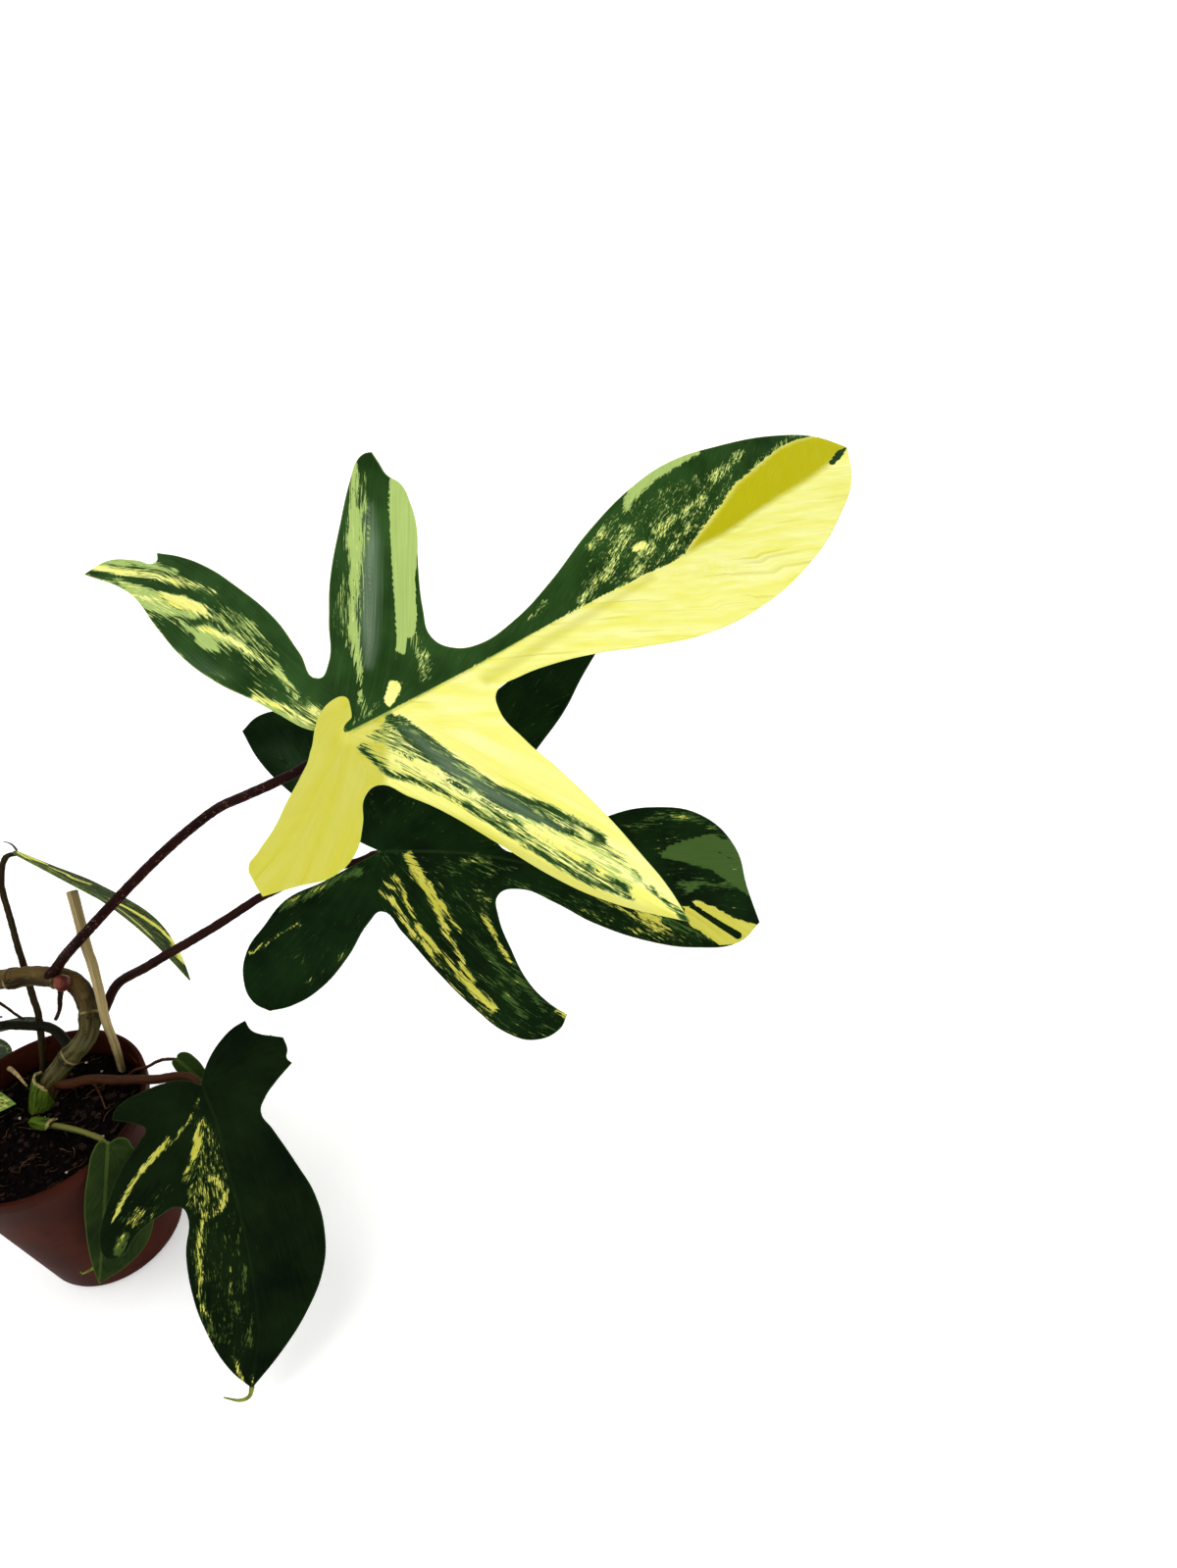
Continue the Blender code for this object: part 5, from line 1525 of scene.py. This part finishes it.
def build_spear():
    """The rolled new leaf at the stem's tip."""
    item = tube("leaf_spear", SPEAR, 3.6, 0.8, stalk_surface(*STALK_SKINS["petiole_heart"]), None, 1.5, 6)
    roughen(item.data, 0.3, 5.0)
    return place_piece(item, "green_petiole_skin", "spear")


# Small things that the photograph shows by the stem's foot and at the leaf tips: the surface's name,
# colours and grain, the slot, and lines of a route and its two half thicknesses
TRIMMINGS = {
    "drip_tail": (("leaf tip", (46, 62, 18), (132, 140, 52), 1.2), "leaf_variegated", [
        ([(94, -113.2, 17.1), (92, -115.6, 13.8), (87.2, -116.2, 13.1), (80.5, -114.6, 15.2)], 1.2, 0.3)]),
    "drip_curl": (("leaf tip", (46, 62, 18), (132, 140, 52), 1.2), "leaf_plain", [
        ([(15.9, -50.3, 38.3), (13.3, -51, 37.4), (8.7, -51.8, 36.3), (7.9, -51.1, 37.2)], 0.9, 0.25)]),
    "tip_curl": (("dry leaf tip", (20, 30, 12), (60, 70, 36), 1.2), "leaf_variegated", [
        ([(4.2, 91.2, 190.4), (2.6, 93.1, 192.8), (0.4, 94.2, 194.3), (-1.9, 94.8, 195.1)], 0.6, 0.2)]),
    "dry_bract": (("dry bract", (120, 96, 58), (196, 172, 122), 1.0), "root_skin", [
        ([(-31.3, 41.4, 91), (-23.8, 33.8, 93), (-15.4, 24.1, 92)], 1.5, 0.5)]),
    "soil_roots": (("brown root", (46, 26, 14), (96, 60, 34), 0.8), "root_skin", [
        ([(16.7, 22.1, 87.6), (20, 18.8, 88.6), (24.3, 11.6, 88.4), (28.2, 3.4, 87.2)], 0.7, 0.35),
        ([(16.3, 13.5, 88.2), (19.6, 16.4, 88.4), (24, 20, 87)], 0.5, 0.3)]),
    "red_root": (("red root", (58, 20, 10), (120, 56, 32), 0.8), "root_skin", [
        ([(30.3, 39.6, 86), (31.2, 42, 88.6), (35.2, 34.8, 90.4), (40.2, 28.3, 89.6), (44.1, 24.2, 87.6)],
         0.9, 0.4)]),
}


# Camera, floor and light

CAMERA_AT = (0.2949, -0.3911, 0.5198)
CAMERA_PITCH = 36.4
CAMERA_ROLL = -10.8
CAMERA_LENS = 26.45
CAMERA_SENSOR = 36.0
SUN_FROM = (-0.35, -0.1, 1.0)
SUN_STRENGTH = 1.2
SUN_SPREAD = 50
SKY_STRENGTH = 0.36
FLOOR_GLOW = 0.32
# The backdrop, in metres
FLOOR_R = 9.0
BEND_R = 3.0
WALL_TOP = 10.0
BEND_STEPS = 8


def add_camera():
    pitch = radians(CAMERA_PITCH)
    roll = radians(CAMERA_ROLL)
    ahead = Vector((0, cos(pitch), -sin(pitch)))
    level = Vector((1, 0, 0))
    upright = Vector((0, sin(pitch), cos(pitch)))
    right = level * cos(roll) + upright * sin(roll)
    top = upright * cos(roll) - level * sin(roll)
    data = bpy.data.cameras.new("camera")
    data.sensor_fit = "VERTICAL"
    data.sensor_height = CAMERA_SENSOR
    data.lens = CAMERA_LENS
    item = add_object("camera", data)
    item.matrix_world = Matrix.Translation(CAMERA_AT) @ Matrix((right, top, -ahead)).transposed().to_4x4()
    bpy.context.scene.camera = item


def add_sun():
    """A broad soft light from above."""
    data = bpy.data.lights.new("soft daylight", "SUN")
    data.energy = SUN_STRENGTH
    data.angle = radians(SUN_SPREAD)
    data.color = (1.0, 0.99, 0.98)
    add_object("soft daylight", data).rotation_euler = Vector(SUN_FROM).to_track_quat("Z", "Y").to_euler()


def build_backdrop():
    """A round paper floor that sweeps up into a low wall, so that no horizon shows."""
    profile = [(0, 0), (FLOOR_R / 2, 0), (FLOOR_R, 0)]
    for i in range(1, BEND_STEPS + 1):
        angle = pi / 2 * i / BEND_STEPS
        profile.append((FLOOR_R + BEND_R * sin(angle), BEND_R * (1 - cos(angle))))
    profile.append((FLOOR_R + BEND_R, WALL_TOP))
    work = bmesh.new()
    corners = [work.verts.new((r, 0, z)) for r, z in profile]
    edges = [work.edges.new(pair) for pair in zip(corners, corners[1:])]
    bmesh.ops.spin(work, geom=[*corners, *edges], cent=(0, 0, 0), axis=(0, 0, 1), angle=2 * pi, steps=72,
                   use_merge=True)
    bmesh.ops.remove_doubles(work, verts=work.verts, dist=0.01)
    bmesh.ops.recalc_face_normals(work, faces=work.faces[:])
    bmesh.ops.translate(work, verts=work.verts, vec=(0, 0, -SEAT * MM))
    paper = Surface("pale floor").finish((250, 250, 249), 0.9, Emission_Color=(1.0, 1.0, 1.0, 1.0),
                                         Emission_Strength=FLOOR_GLOW)
    floor = add_solid("floor", work, paper)
    floor.data.shade_smooth()


def light_studio():
    world = bpy.data.worlds.new("pale studio")
    world.use_nodes = True
    sky = world.node_tree.nodes["Background"]
    sky.inputs["Color"].default_value = (1.0, 1.0, 1.0, 1)
    sky.inputs["Strength"].default_value = SKY_STRENGTH
    bpy.context.scene.world = world
    add_sun()
    bpy.context.scene.view_settings.view_transform = "Standard"


def build():
    add_camera()
    build_backdrop()
    light_studio()
    for build_piece in (build_pot, build_compost, build_soil_bits, build_stem, build_stalks, build_roots,
                        build_stake, build_bud):
        build_piece()
    for node, shape in SHEATHS.items():
        build_sheath(node, *shape)
    build_spear()
    for node, shape in LEAVES.items():
        leaf_sheet(node, shape, *DRESS[node])
    for name, (surface, slot, lines) in TRIMMINGS.items():
        strands(name, lines, crumb_surface(*surface), slot)


build()
